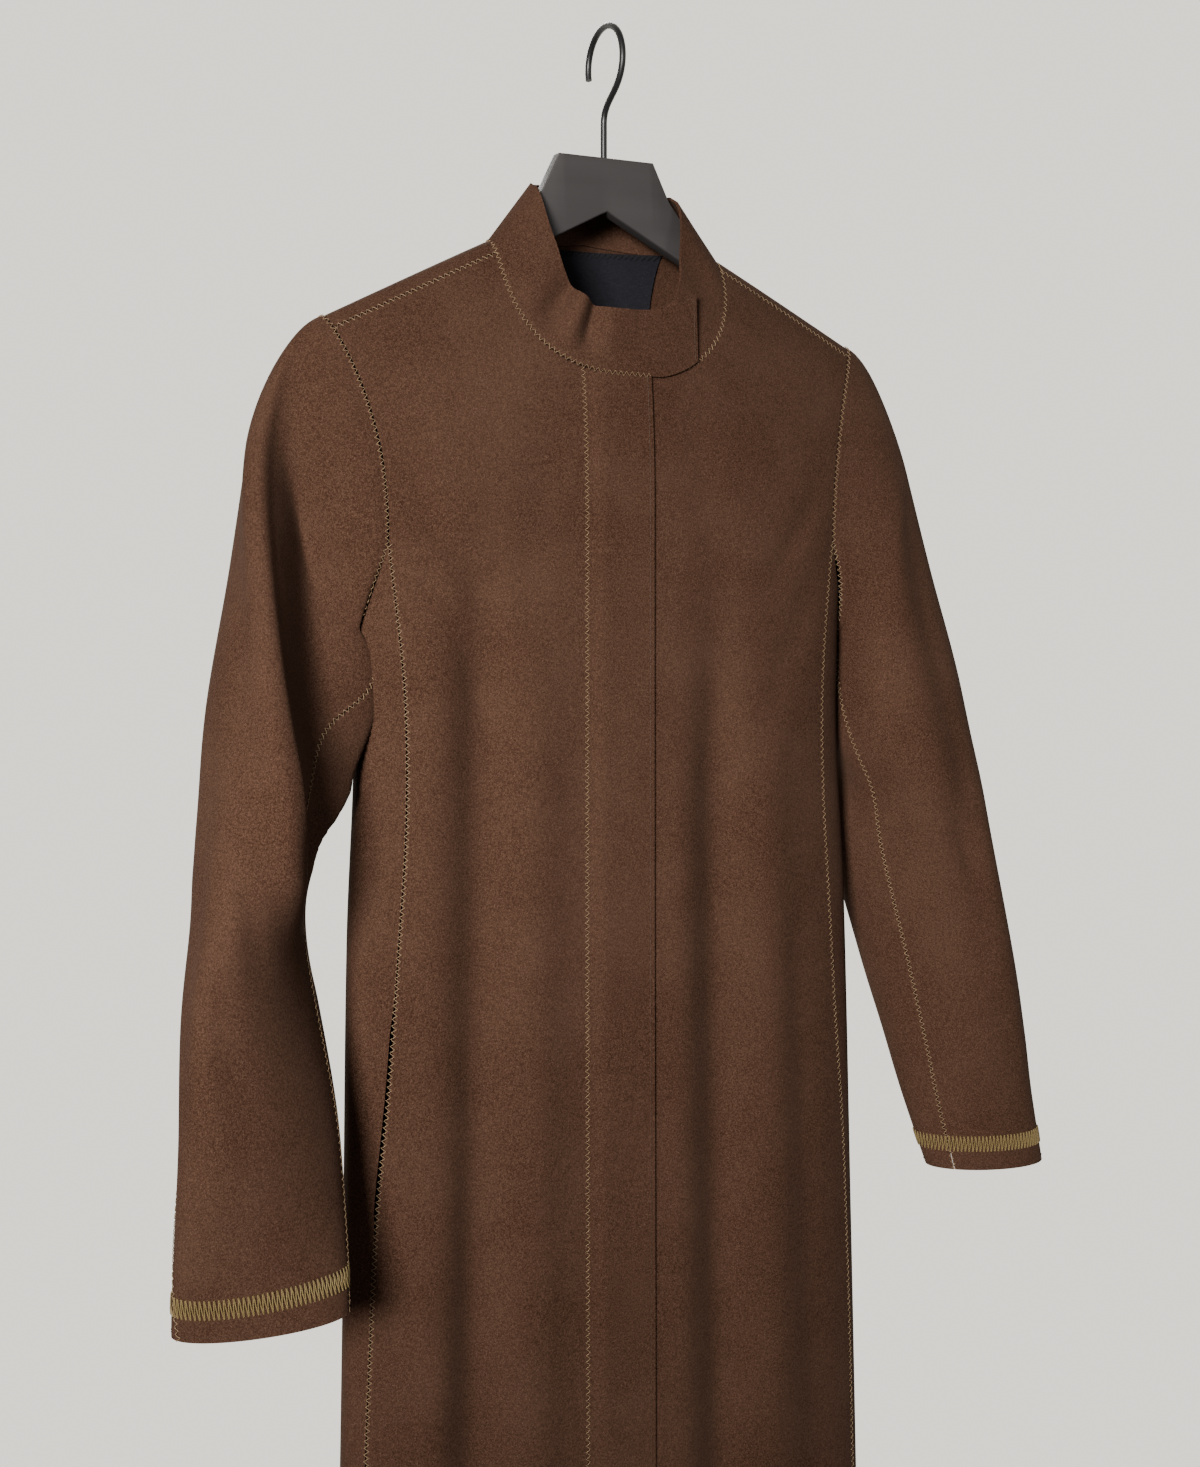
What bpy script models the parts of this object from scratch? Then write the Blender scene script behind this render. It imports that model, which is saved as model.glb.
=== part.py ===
"""A slim wool riding coat hanging on a flat wooden hanger.

Each cloth piece is a wall of felted wool on a surface worked out from the coat's sizes.
Metres, +Z up. The coat's front faces -Y, and the origin is the top of the hook's inside.
Places are given as across (from the centre line, + to the wearer's left), forward (towards
the front) and down (below the origin).
"""

import math
from collections import namedtuple

import bmesh
import bpy
import numpy as np

# Cloth
WALL = 0.002
POCKET_WALL = 0.0012
LABEL_WALL = 0.0008
SEAM_GAP = 0.0003
BACK_SEAM_GAP = 0.0008
LAP = 0.0025
ARMHOLE_GAP = 0.0014

# Shoulder ridge, which the hanger's arms carry
RIDGE_DOWN = 0.1204
RIDGE_SLOPE = 0.5085
RIDGE_ROUND = 0.03
FRONT_REACH = 0.14
BACK_REACH = 0.09
SHOULDER_SEAM_DROP = 0.009

# Body section: a flat lens, fuller behind than in front
MIDDLE_REACH = 0.20
LENS_POWER = 4.0
HEM_DOWN = 1.24
SLOPE_FADE = 0.2
FOLD_FADE = 0.16

# Neck
NECK_HALF = 0.0862
NECK_SIDE_DOWN = 0.1516
NECK_FRONT_DOWN = 0.239
NECK_BACK_RISE = 0.0085
NECK_POWER = 2.5
COLLAR_LIFT = 0.0011
COLLAR_INSET = 0.0014
TAB_END = 0.0515
TAB_LIFT = 0.0035
TAB_STAND = 0.0006
OVER_FROM_TURN = 118.0
OVER_TURN = 40.0
UNDER_END_TURN = 174.0

# Front edges, across
RIGHT_FRONT_EDGE = 0.024
LEFT_FRONT_EDGE = -0.020
PLACKET_FROM = -0.036
PLACKET_TO = 0.013

# Armhole and pockets
TIP_ACROSS = 0.200
TIP_DOWN = 0.208
JOIN_ACROSS = 0.168
JOIN_DOWN = 0.35
UNDERARM_DOWN = 0.41
ARMHOLE_POWER = 2.2
UNDERARM_FADE = 0.25
UNDERARM_LAP_RATE = 7
SLIT_FROM = 0.63
SLIT_TO = 0.79
SLIT_GAP = 0.0024
SLIT_FADE = 0.03
BAG_FROM = 0.60
BAG_TO = 0.85
BAG_COLUMNS = 4

# Label inside the back neck
LABEL_HALF = 0.056
LABEL_FROM = 0.1475
LABEL_TO = 0.195
LABEL_GAP = 0.0015
LABEL_RIDGE_DROP = 0.006

# Hanger
HEAD_TOP_DOWN = 0.088
HEAD_TOP_HALF = 0.036
HEAD_SIDE_DOWN = 0.1135
HEAD_SIDE_HALF = 0.0485
NECKING_DOWN = 0.1555
NECKING_HALF = 0.083
BOARD_APEX_DOWN = 0.125
BOARD_LOWER_SLOPE = 0.51
BOARD_HALF_THICKNESS = 0.0055
BOARD_CHAMFER = 0.0040
BOARD_END = 0.186
BOARD_CLEARANCE = 0.0021
NECKING_BLEND = 0.012
HEAD_STATIONS = (0.0, 0.018, HEAD_TOP_HALF, 0.042, HEAD_SIDE_HALF, 0.060, 0.072, NECKING_HALF, 0.089, 0.096)
ARM_STATIONS = (0.115, 0.139, 0.162, BOARD_END)
WIRE_RADIUS = 0.00225
HOOK_RADIUS = 0.025
HOOK_CENTRE_FORWARD = 0.002
HOOK_FRONT_TURN = 130
HOOK_TIP_TURN = -105
STEM_TOP_DOWN = 0.064
BEND_PULL = 0.4

# Grid counts
FRONT_COLUMNS = 8
SHOULDER_ROWS = 6
NECK_ROWS = 7
BODY_ROWS = 15
SIDE_COLUMNS = 9
SHOULDER_COLUMNS = 5
BACK_NECK_ANGLES = (6, 24, 42, 58, 74, 90)
PLACKET_COLUMNS = 3
UPPER_COLUMNS = 10
UNDER_COLUMNS = 6
COLLAR_ROWS = 3
LABEL_COLUMNS = 8
LABEL_ROWS = 4
HOOK_POINTS = 22
BEND_POINTS = 7
BISECT_STEPS = 40
SHARP_ANGLE = 50

# Limits of the search for a panel's outer edge, across
EDGE_LEAST = 0.10
EDGE_MOST = 0.24

# Body sections: middle is how far forward the widest line lies, and depths are from it
Section = namedtuple("Section", "down half_width middle front_depth back_depth")
SECTIONS = [
    Section(0.12, 0.262, 0.010, 0.034, 0.046),
    Section(0.21, 0.250, 0.010, 0.034, 0.046),
    Section(0.26, 0.226, 0.010, 0.034, 0.046),
    Section(0.35, 0.191, 0.010, 0.034, 0.047),
    Section(0.45, 0.182, 0.011, 0.033, 0.049),
    Section(0.60, 0.187, 0.014, 0.030, 0.052),
    Section(0.83, 0.191, 0.018, 0.027, 0.056),
    Section(1.24, 0.199, 0.021, 0.025, 0.060),
]

Seam = namedtuple("Seam", "down front back")
SEAMS = [
    Seam(0.35, 0.168, 0.168),
    Seam(0.45, 0.158, 0.152),
    Seam(0.53, 0.158, 0.148),
    Seam(0.605, 0.163, 0.150),
    Seam(0.69, 0.169, 0.153),
    Seam(0.765, 0.176, 0.157),
    Seam(0.865, 0.181, 0.161),
    Seam(1.24, 0.190, 0.170),
]

Fold = namedtuple("Fold", "across sway start depth half_width")
FRONT_FOLDS = [
    Fold(-0.140, -0.012, 0.34, 0.0022, 0.018),
    Fold(-0.106, -0.010, 0.30, -0.0045, 0.019),
    Fold(-0.068, -0.004, 0.36, 0.0024, 0.018),
    Fold(0.036, 0.002, 0.42, 0.0016, 0.014),
    Fold(0.066, 0.006, 0.36, -0.0042, 0.018),
    Fold(0.108, 0.014, 0.40, 0.0028, 0.020),
]
BACK_FOLDS = [
    Fold(-0.112, -0.010, 0.36, 0.0030, 0.020),
    Fold(-0.066, -0.012, 0.30, -0.0048, 0.020),
    Fold(-0.010, 0.004, 0.40, 0.0034, 0.022),
    Fold(0.054, 0.010, 0.34, -0.0042, 0.019),
    Fold(0.104, 0.012, 0.44, 0.0030, 0.020),
]

# Sleeve rings: outer side raised by tilt; turn is the long axis, from outward to forward
Ring = namedtuple("Ring", "down tilt across forward long short turn")
RINGS_RIGHT = [
    Ring(0.360, 0.068, 0.2185, 0.003, 0.044, 0.0290, 90),
    Ring(0.420, 0.050, 0.2250, 0.008, 0.051, 0.0375, 88),
    Ring(0.478, 0.027, 0.2365, 0.020, 0.055, 0.0440, 82),
    Ring(0.525, 0.010, 0.2525, 0.033, 0.057, 0.0370, 72),
    Ring(0.565, 0.003, 0.2605, 0.043, 0.057, 0.0310, 62),
    Ring(0.618, 0.000, 0.2625, 0.051, 0.055, 0.0290, 42),
    Ring(0.692, 0.000, 0.2600, 0.063, 0.052, 0.0270, 20),
    Ring(0.750, 0.000, 0.2615, 0.071, 0.050, 0.0255, 2),
    Ring(0.797, -0.002, 0.2640, 0.078, 0.0480, 0.0240, -15),
]
RINGS_LEFT = [
    Ring(0.360, 0.068, 0.2180, 0.000, 0.042, 0.0290, 90),
    Ring(0.420, 0.050, 0.2270, 0.003, 0.048, 0.0390, 85),
    Ring(0.478, 0.027, 0.2370, 0.010, 0.053, 0.0460, 75),
    Ring(0.525, 0.010, 0.2420, 0.016, 0.058, 0.0390, 60),
    Ring(0.570, 0.003, 0.2450, 0.021, 0.060, 0.0330, 50),
    Ring(0.655, 0.000, 0.2620, 0.030, 0.056, 0.0310, 45),
    Ring(0.710, 0.000, 0.2725, 0.037, 0.051, 0.0290, 38),
    Ring(0.755, 0.000, 0.2800, 0.043, 0.047, 0.0260, 30),
    Ring(0.807, 0.000, 0.2910, 0.050, 0.0430, 0.0240, 21),
]
RING_STEPS = [-1.0, -0.72, -0.42, 0.0, 0.5, 1.0, 1.5, 2.0, 2.5, 3.0, 3.5, 4.0, 5.0, 6.0, 7.0, 7.5, 8.0]

# Sleeve seams, as angles round the ring at a share of the sleeve's length
SleeveSeam = namedtuple("SleeveSeam", "along front_right back_right front_left back_left")
SLEEVE_SEAMS = [
    SleeveSeam(0.0, 176, -95, 176, -95),
    SleeveSeam(0.16, 158, -85, 168, -85),
    SleeveSeam(0.38, 120, -69, 157, -70),
    SleeveSeam(0.52, 136, -57, 153, -61),
    SleeveSeam(0.8, 152, -14, 151, -45),
    SleeveSeam(1.0, 150, 6, 150, -32),
]
SEAM_GAP_ANGLE = 0.55

# How the sleeve leaves the armhole at the shoulder tip and under the arm: across, forward, down
CROWN_LEAVE = np.array([0.070, 0.0, 0.024])
UNDERARM_LEAVE = np.array([0.004, 0.0, 0.030])
SLEEVE_FOLD_FADE = 1.2

SleeveFold = namedtuple("SleeveFold", "angle to_angle start end depth half_width")
FOLDS_RIGHT = [
    SleeveFold(56, 92, -0.8, 4.6, 0.0060, 14),
    SleeveFold(92, 122, -0.8, 4.2, -0.0130, 22),
    SleeveFold(150, 150, -1.1, 1.35, 0.0115, 22),
    SleeveFold(20, 20, 1.5, 6.5, -0.0025, 16),
    SleeveFold(-70, -70, -0.6, 5.0, -0.0040, 20),
]
FOLDS_LEFT = [
    SleeveFold(70, 66, -0.6, 3.6, -0.0055, 18),
    SleeveFold(102, 96, -0.4, 4.5, 0.0030, 18),
    SleeveFold(34, 34, -0.5, 5.5, 0.0025, 14),
    SleeveFold(-72, -72, -0.6, 5.0, -0.0040, 20),
]

# Collar: how the top edge stands over the neck seam, by turn from centre back to centre front
Lean = namedtuple("Lean", "turn keep rise forward")
LEANS = [
    Lean(0, 0.86, 0.0440, -0.0040),
    Lean(45, 0.64, 0.0440, -0.0040),
    Lean(70, 0.60, 0.0430, -0.0030),
    Lean(90, 0.62, 0.0420, -0.0010),
    Lean(120, 0.61, 0.0405, -0.0035),
    Lean(150, 0.70, 0.0420, -0.0030),
    Lean(180, 0.95, 0.0435, -0.0030),
]
COLLAR_TURNS = [160, 142, 124, 108, 96, 84, 66, 44, 22]
TAB_SHARES = [0.0, 0.24, 0.6, 1.0]

Finish = namedtuple("Finish", "colour roughness metallic")
WOOL = Finish((0.082, 0.046, 0.030), 0.92, 0.0)
LABEL_CLOTH = Finish((0.010, 0.011, 0.015), 0.70, 0.0)
POCKET_CLOTH = Finish((0.060, 0.035, 0.024), 0.90, 0.0)
BLACK_WOOD = Finish((0.009, 0.009, 0.010), 0.38, 0.0)
BLACK_WIRE = Finish((0.012, 0.012, 0.013), 0.30, 0.8)


def clear_scene():
    """Removes every object that the scene starts with."""
    for thing in list(bpy.data.objects):
        bpy.data.objects.remove(thing, do_unlink=True)


def smooth(at, places, values):
    """Values at the given places of a smooth curve through a table's rows."""
    places = np.asarray(places, float)
    values = np.asarray(values, float)
    slopes = np.gradient(values, places)
    at = np.clip(np.asarray(at, float), places[0], places[-1])
    low = np.clip(np.searchsorted(places, at) - 1, 0, len(places) - 2)
    step = places[low + 1] - places[low]
    t = (at - places[low]) / step
    start = (1 + 2 * t) * (1 - t) ** 2 * values[low] + t * (1 - t) ** 2 * step * slopes[low]
    end = t * t * (3 - 2 * t) * values[low + 1] + t * t * (t - 1) * step * slopes[low + 1]
    return start + end


def column(rows, name):
    """One column of a table."""
    return [getattr(row, name) for row in rows]


def ease(t):
    """A smooth step from 0 to 1 as t goes from 0 to 1."""
    t = np.clip(t, 0.0, 1.0)
    return t * t * (3 - 2 * t)


def window(at, start, end, fade):
    """1 between start and end, fading out over fade at both."""
    return ease((at - start) / fade) * ease((end - at) / fade)


def ridge_down(across):
    """How far the shoulder ridge lies below the origin."""
    return RIDGE_DOWN + RIDGE_SLOPE * (np.sqrt(across**2 + RIDGE_ROUND**2) - RIDGE_ROUND)


def roll(drop, reach):
    """Share of the body's full depth at a drop below the ridge."""
    return np.sqrt(1 - (1 - np.clip(drop / reach, 0.0, 1.0)) ** 2)


def section(down, name):
    """One size of the body's section at a level."""
    return smooth(down, column(SECTIONS, "down"), column(SECTIONS, name))


def lens(across, down):
    """Share of the body's depth that is left at a place across."""
    share = np.abs(across) / section(down, "half_width")
    return np.sqrt(np.clip(1 - share**LENS_POWER, 0.0, 1.0))


def middle_forward(across, down):
    """Where the body's widest line lies; it moves forward below the shoulders."""
    return section(down, "middle") * ease((down - ridge_down(across)) / MIDDLE_REACH)


def fold_relief(folds, across, down):
    """Height of the vertical folds at a place on a panel."""
    relief = np.zeros_like(np.asarray(across, float) + down)
    for fold in folds:
        along = (down - fold.start) / (HEM_DOWN - fold.start)
        off = (across - fold.across - fold.sway * along) / fold.half_width
        relief += fold.depth * np.exp(-(off**2)) * ease((down - fold.start) / FOLD_FADE)
    return relief


def front_forward(across, down):
    """The body's front surface."""
    drop = down - ridge_down(across)
    full = section(down, "front_depth") * roll(drop, FRONT_REACH) * lens(across, down)
    return middle_forward(across, down) + full + fold_relief(FRONT_FOLDS, across, down)


def back_forward(across, down):
    """The body's back surface."""
    drop = down - ridge_down(across)
    full = section(down, "back_depth") * roll(drop, BACK_REACH) * lens(across, down)
    return middle_forward(across, down) - full - fold_relief(BACK_FOLDS, across, down)


def neck_down(across):
    """The front neck seam's level."""
    share = np.clip(np.abs(across) / NECK_HALF, 0.0, 1.0)
    fall = (1 - share**NECK_POWER) ** (1 / NECK_POWER)
    return NECK_SIDE_DOWN + (NECK_FRONT_DOWN - NECK_SIDE_DOWN) * fall


def edge_across(down, seam):
    """A panel's outer edge: the armhole, then the front or back seam."""
    if down < JOIN_DOWN:
        share = (JOIN_DOWN - down) / (JOIN_DOWN - TIP_DOWN)
        return JOIN_ACROSS + (TIP_ACROSS - JOIN_ACROSS) * share**ARMHOLE_POWER
    return float(smooth(down, column(SEAMS, "down"), column(SEAMS, seam)))


# A row of a panel: its level at the centre line, and how much of the shoulder's slope it keeps
Row = namedtuple("Row", "base slope")


def row_down(row, across):
    """A row's level at a place across."""
    return row.base + row.slope * (ridge_down(across) - RIDGE_DOWN)


def neck_across(angle):
    """The front neck seam's place across, from the ridge at 0 to centre front at 90 degrees."""
    return NECK_HALF * max(0.0, math.cos(math.radians(angle))) ** (2 / NECK_POWER)


def shoulder_rows(front_edge):
    """Rows along the shoulder that meet the neck seam at even turns, down to the front edge."""
    share = max(0.0, front_edge) / NECK_HALF
    last = math.degrees(math.acos(share ** (NECK_POWER / 2)))
    drops = [SHOULDER_SEAM_DROP + SEAM_GAP]
    for angle in np.linspace(0.0, last, NECK_ROWS + 1)[1:]:
        across = neck_across(angle)
        drops.append(float(neck_down(across) - ridge_down(across)))
    return [Row(RIDGE_DOWN + drop, 1.0) for drop in drops]


def body_rows(reach):
    """Rows from the end of the shoulder's roll to the hem, soon level."""
    start = RIDGE_DOWN + reach
    shares = np.linspace(0.0, 1.0, BODY_ROWS + 1)
    slopes = np.clip(1 - shares / SLOPE_FADE, 0.0, 1.0) ** 2
    return [Row(start + (HEM_DOWN - start) * g, k) for g, k in zip(shares, slopes)]


def bisect(test, low, high):
    """The place between low and high where test turns from negative to positive."""
    for _ in range(BISECT_STEPS):
        middle = (low + high) / 2
        if test(middle) < 0:
            low = middle
        else:
            high = middle
    return (low + high) / 2


def outer_end(row, seam):
    """Where a row meets the armhole or the side seam."""
    return bisect(lambda across: across - edge_across(row_down(row, across), seam), EDGE_LEAST, EDGE_MOST)


def inner_end(row, front_edge):
    """Where a row meets the neck seam, or the panel's front edge below it."""
    start = max(0.0, front_edge)
    if row_down(row, start) > NECK_FRONT_DOWN + SEAM_GAP:
        return front_edge
    return bisect(lambda across: row_down(row, across) - neck_down(across), start, NECK_HALF)


def place(across, forward, down):
    """Points of the world from places on the coat."""
    across, forward, down = np.broadcast_arrays(across, forward, down)
    return np.stack([across, -forward, -down], axis=-1)


def front_grid(side, front_edge):
    """Middle surface of a front panel, shoulder seam to hem; side is -1 or 1."""
    rows = shoulder_rows(front_edge) + body_rows(FRONT_REACH)
    grid = []
    for row in rows:
        last = outer_end(row, "front") - SEAM_GAP
        across = np.linspace(inner_end(row, front_edge), last, FRONT_COLUMNS + 1)
        down = row_down(row, across)
        grid.append(place(side * across, front_forward(side * across, down), down))
    return np.array(grid)


def placket_grid():
    """Middle surface of the fly-front band, which lies on both fronts."""
    across = np.linspace(PLACKET_FROM, PLACKET_TO, PLACKET_COLUMNS + 1)
    downs = [neck_down(across)]
    downs += [row_down(row, across) for row in body_rows(FRONT_REACH)]
    grid = [place(across, front_forward(across, down) + LAP, down) for down in downs]
    return np.array(grid)


def back_top():
    """The back's top edge as (across, turn over the ridge), from the wearer's left to centre."""
    seam_turn = math.acos(1 - (SHOULDER_SEAM_DROP - SEAM_GAP) / FRONT_REACH)
    row = Row(RIDGE_DOWN + SHOULDER_SEAM_DROP, 1.0)
    tip = outer_end(row, "back")
    edge = [(x, seam_turn) for x in np.linspace(tip, NECK_HALF, SHOULDER_COLUMNS + 1)]
    for angle in BACK_NECK_ANGLES:
        across, down = back_neck(angle)
        drop = max(0.0, down - float(ridge_down(across)))
        edge.append((across, -math.acos(1 - drop / BACK_REACH)))
    return edge


def back_neck(angle):
    """The back neck seam, from the shoulder ridge at 0 to centre back at 90 degrees."""
    turn = math.radians(angle)
    across = NECK_HALF * math.cos(turn)
    return across, NECK_SIDE_DOWN - NECK_BACK_RISE * (1 - math.cos(turn))


def ridge_point(across, turn):
    """A point of the shoulder's roll: turn is above 0 in front of the ridge, below 0 behind it."""
    reach = FRONT_REACH if turn > 0 else BACK_REACH
    down = float(ridge_down(across)) + reach * (1 - math.cos(turn))
    surface = front_forward if turn > 0 else back_forward
    return place(across, surface(across, down), down)


def back_grid():
    """Middle surface of the back, from the forward shoulder seams and the neck to the hem."""
    half = back_top()
    top = half + [(-across, turn) for across, turn in reversed(half[:-1])]
    rows = body_rows(BACK_REACH)
    last = outer_end(rows[0], "back") - SEAM_GAP
    even = np.linspace(last, -last, len(top))
    grid = []
    for step in range(SHOULDER_ROWS):
        share = step / SHOULDER_ROWS
        points = []
        for (across, turn), low in zip(top, even):
            here = turn + (-math.pi / 2 - turn) * share
            beside = across + (low - across) * share
            if abs(low) == last:
                beside = math.copysign(armhole_at_turn(here) - SEAM_GAP, low)
            points.append(ridge_point(beside, here))
        grid.append(np.array(points))
    for row in rows:
        last = outer_end(row, "back") - SEAM_GAP
        across = np.linspace(last, -last, len(top))
        down = row_down(row, across)
        grid.append(place(across, back_forward(across, down), down))
    return np.array(grid)


def armhole_at_turn(turn):
    """Where the armhole crosses a line of the shoulder's roll."""
    reach = FRONT_REACH if turn > 0 else BACK_REACH
    return outer_end(Row(RIDGE_DOWN + reach * (1 - math.cos(turn)), 1.0), "back")


def side_point(share, level, front_gap):
    """A point of the side: share 0 at the front seam, 1 at the back seam; level 0 at the armhole."""
    edge = JOIN_DOWN + (HEM_DOWN - JOIN_DOWN) * level
    dip = (UNDERARM_DOWN - JOIN_DOWN) * max(0.0, 1 - level / UNDERARM_FADE) ** 2
    down = edge + dip * math.sin(math.pi * share)
    gap = front_gap + SLIT_GAP * float(window(edge, SLIT_FROM, SLIT_TO, SLIT_FADE))
    ends = (edge_across(edge, "front") + gap, edge_across(edge, "back") + BACK_SEAM_GAP)
    start, end = (math.asin(float(lens(across, edge))) for across in ends)
    turn = start - (start + end) * share
    across = float(section(down, "half_width")) * math.cos(turn) ** (2 / LENS_POWER)
    depth = float(section(down, "front_depth" if turn > 0 else "back_depth"))
    forward = float(middle_forward(across, down)) + depth * math.sin(turn)
    return across, forward, down


def side_grid(side):
    """Middle surface of a side panel, armhole to hem."""
    grid = []
    for level in np.linspace(0.0, 1.0, BODY_ROWS + 1):
        shares = np.linspace(0.0, 1.0, SIDE_COLUMNS + 1)
        points = [side_point(share, level, SEAM_GAP) for share in shares]
        grid.append([place(side * across, forward, down) for across, forward, down in points])
    return np.array(grid)


def armhole_point(angle):
    """The armhole seam: 0 at the shoulder tip, 90 in front, 180 under the arm. Across, forward, down."""
    turn = math.radians(angle)
    in_front = math.sin(turn) >= 0
    half = (UNDERARM_DOWN - TIP_DOWN) / 2
    down = TIP_DOWN + half * (1 - math.cos(turn))
    if down <= JOIN_DOWN:
        across = edge_across(down, "front")
        surface = front_forward if in_front else back_forward
        return np.array([across + ARMHOLE_GAP, float(surface(across, down)), down])
    dip = (down - JOIN_DOWN) / (UNDERARM_DOWN - JOIN_DOWN)
    share = math.asin(min(1.0, dip)) / math.pi
    point = np.array(side_point(share if in_front else 1 - share, 0.0, 0.0))
    out = LAP * ease(UNDERARM_LAP_RATE * share)
    spread = math.pi / 4 * (1 - 2 * share)
    sideways = math.sin(spread) if in_front else -math.sin(spread)
    return point + np.array([ARMHOLE_GAP + out * math.cos(spread), out * sideways, 0.0])


def ring_point(rings, step, angle):
    """A point of the sleeve's tube at a step along its rings. Across, forward, down."""
    places = range(len(rings))
    ring = Ring(*(float(smooth(step, places, column(rings, name))) for name in Ring._fields))
    turn = math.radians(angle)
    axis = math.radians(ring.turn)
    along = ring.long * math.cos(turn - axis)
    beside = ring.short * math.sin(turn - axis)
    across = ring.across + along * math.cos(axis) - beside * math.sin(axis)
    forward = ring.forward + along * math.sin(axis) + beside * math.cos(axis)
    return np.array([across, forward, ring.down - ring.tilt * math.cos(turn)])


def sleeve_point(rings, folds, step, angle):
    """A point of the sleeve: from the armhole at step -1 to the first ring at 0, then the rings."""
    turn = math.radians(angle)
    if step >= 0:
        point = ring_point(rings, step, angle)
    else:
        t = step + 1
        start = armhole_point(angle % 360)
        end = ring_point(rings, 0.0, angle)
        outer = (1 + math.cos(turn)) / 2
        leave = CROWN_LEAVE * outer + UNDERARM_LEAVE * (1 - outer)
        arrive = 2 * (ring_point(rings, 0.5, angle) - end)
        point = (1 + 2 * t) * (1 - t) ** 2 * start + t * (1 - t) ** 2 * leave
        point = point + t * t * (3 - 2 * t) * end + t * t * (t - 1) * arrive
    out = np.array([math.cos(turn), math.sin(turn), 0.0])
    for fold in folds:
        along = min(1.0, max(0.0, (step - fold.start) / (fold.end - fold.start)))
        middle = fold.angle + (fold.to_angle - fold.angle) * along
        off = ((angle - middle + 180) % 360 - 180) / fold.half_width
        height = fold.depth * window(step, fold.start, fold.end, SLEEVE_FOLD_FADE)
        point = point + out * height * math.exp(-off * off)
    return point


def seam_angles(side, share):
    """Angles of a sleeve's front and back seams at a share of its length."""
    names = ("front_right", "back_right") if side < 0 else ("front_left", "back_left")
    alongs = column(SLEEVE_SEAMS, "along")
    return [float(smooth(share, alongs, column(SLEEVE_SEAMS, name))) for name in names]


def sleeve_grids(side, rings, folds):
    """Middle surfaces and normals of the upper and under sleeve, armhole to cuff."""
    tube, parted = [], []
    columns = UPPER_COLUMNS + UNDER_COLUMNS
    for step in RING_STEPS:
        front, back = seam_angles(side, (step + 1) / len(rings))
        upper = np.linspace(back, front, UPPER_COLUMNS + 1)
        under = np.linspace(front, back + 360, UNDER_COLUMNS + 1)
        upper_parted = np.linspace(back + SEAM_GAP_ANGLE, front - SEAM_GAP_ANGLE, UPPER_COLUMNS + 1)
        under_parted = np.linspace(front + SEAM_GAP_ANGLE, back + 360 - SEAM_GAP_ANGLE, UNDER_COLUMNS + 1)
        for rows, angles in ((tube, [*upper, *under[1:]]), (parted, [*upper_parted, *under_parted])):
            points = [sleeve_point(rings, folds, step, angle) for angle in angles]
            rows.append([place(side * across, forward, down) for across, forward, down in points])
    tube = np.array(tube)
    wrapped = np.concatenate([tube[:, -2:-1], tube, tube[:, 1:2]], axis=1)
    tube_normals = normals_of(wrapped)[:, 1:-1]
    parted = np.array(parted)
    upper_end = UPPER_COLUMNS + 1
    under_normals = tube_normals[:, UPPER_COLUMNS : columns + 1]
    return (
        (parted[:, :upper_end], tube_normals[:, :upper_end]),
        (parted[:, upper_end:], under_normals),
    )


def neck_point(turn):
    """The neck seam: turn 0 at centre back, 90 at the shoulder ridge, 180 at centre front."""
    if turn <= 90:
        across, down = back_neck(90 - turn)
        return across, float(back_forward(across, max(down, float(ridge_down(across))))), down
    across = neck_across(turn - 90)
    down = float(neck_down(across))
    return across, float(front_forward(across, down)), down


def collar_line(base, turn):
    """One line of the collar from its neck seam to its top edge. Across, forward and down of each."""
    across, forward, down = base
    lean = Lean(*(float(smooth(turn, column(LEANS, "turn"), column(LEANS, n))) for n in Lean._fields))
    inset = 1 - COLLAR_INSET / NECK_HALF
    foot = np.array([across * inset, forward, down - COLLAR_LIFT])
    top = np.array([across * lean.keep, forward + lean.forward, down - lean.rise])
    return foot, top


def collar_lines():
    """The collar from its under end, round the back of the neck, to the end of its tab."""
    lines = []
    for turn in [UNDER_END_TURN] + COLLAR_TURNS + [0]:
        lines.append(collar_line(neck_point(turn), turn))
    for turn in COLLAR_TURNS[::-1] + [UNDER_END_TURN]:
        across, forward, down = neck_point(turn)
        over = LAP * float(ease((turn - OVER_FROM_TURN) / OVER_TURN))
        lines.append(collar_line((-across, forward + over, down), turn))
    for share in TAB_SHARES:
        across = TAB_END * share
        down = float(neck_down(across)) - TAB_LIFT * share**2
        forward = float(front_forward(across, down)) + LAP + TAB_STAND * share
        foot, top = collar_line((across, forward, down), 180)
        top[0] = across
        lines.append((foot, top))
    return lines


def collar_grid():
    """Middle surface of the stand collar."""
    grid = []
    for share in np.linspace(0.0, 1.0, COLLAR_ROWS + 1):
        points = [foot + (top - foot) * share for foot, top in collar_lines()]
        grid.append([place(*point) for point in points])
    return np.array(grid)


def label_grid():
    """Middle surface of the label, inside the back."""
    inside = WALL / 2 + LABEL_GAP + LABEL_WALL / 2
    across = np.linspace(-LABEL_HALF, LABEL_HALF, LABEL_COLUMNS + 1)
    grid = []
    for share in np.linspace(0.0, 1.0, LABEL_ROWS + 1):
        top = np.maximum(LABEL_FROM, ridge_down(across) + LABEL_RIDGE_DROP)
        down = top + (LABEL_TO - LABEL_FROM) * share
        grid.append(place(across, back_forward(across, down) + inside, down))
    return np.array(grid)


def normals_of(grid):
    """Unit normals of a grid of points."""
    across = np.gradient(grid, axis=1)
    along = np.gradient(grid, axis=0)
    normals = np.cross(across, along)
    return normals / np.linalg.norm(normals, axis=2, keepdims=True)


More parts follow.
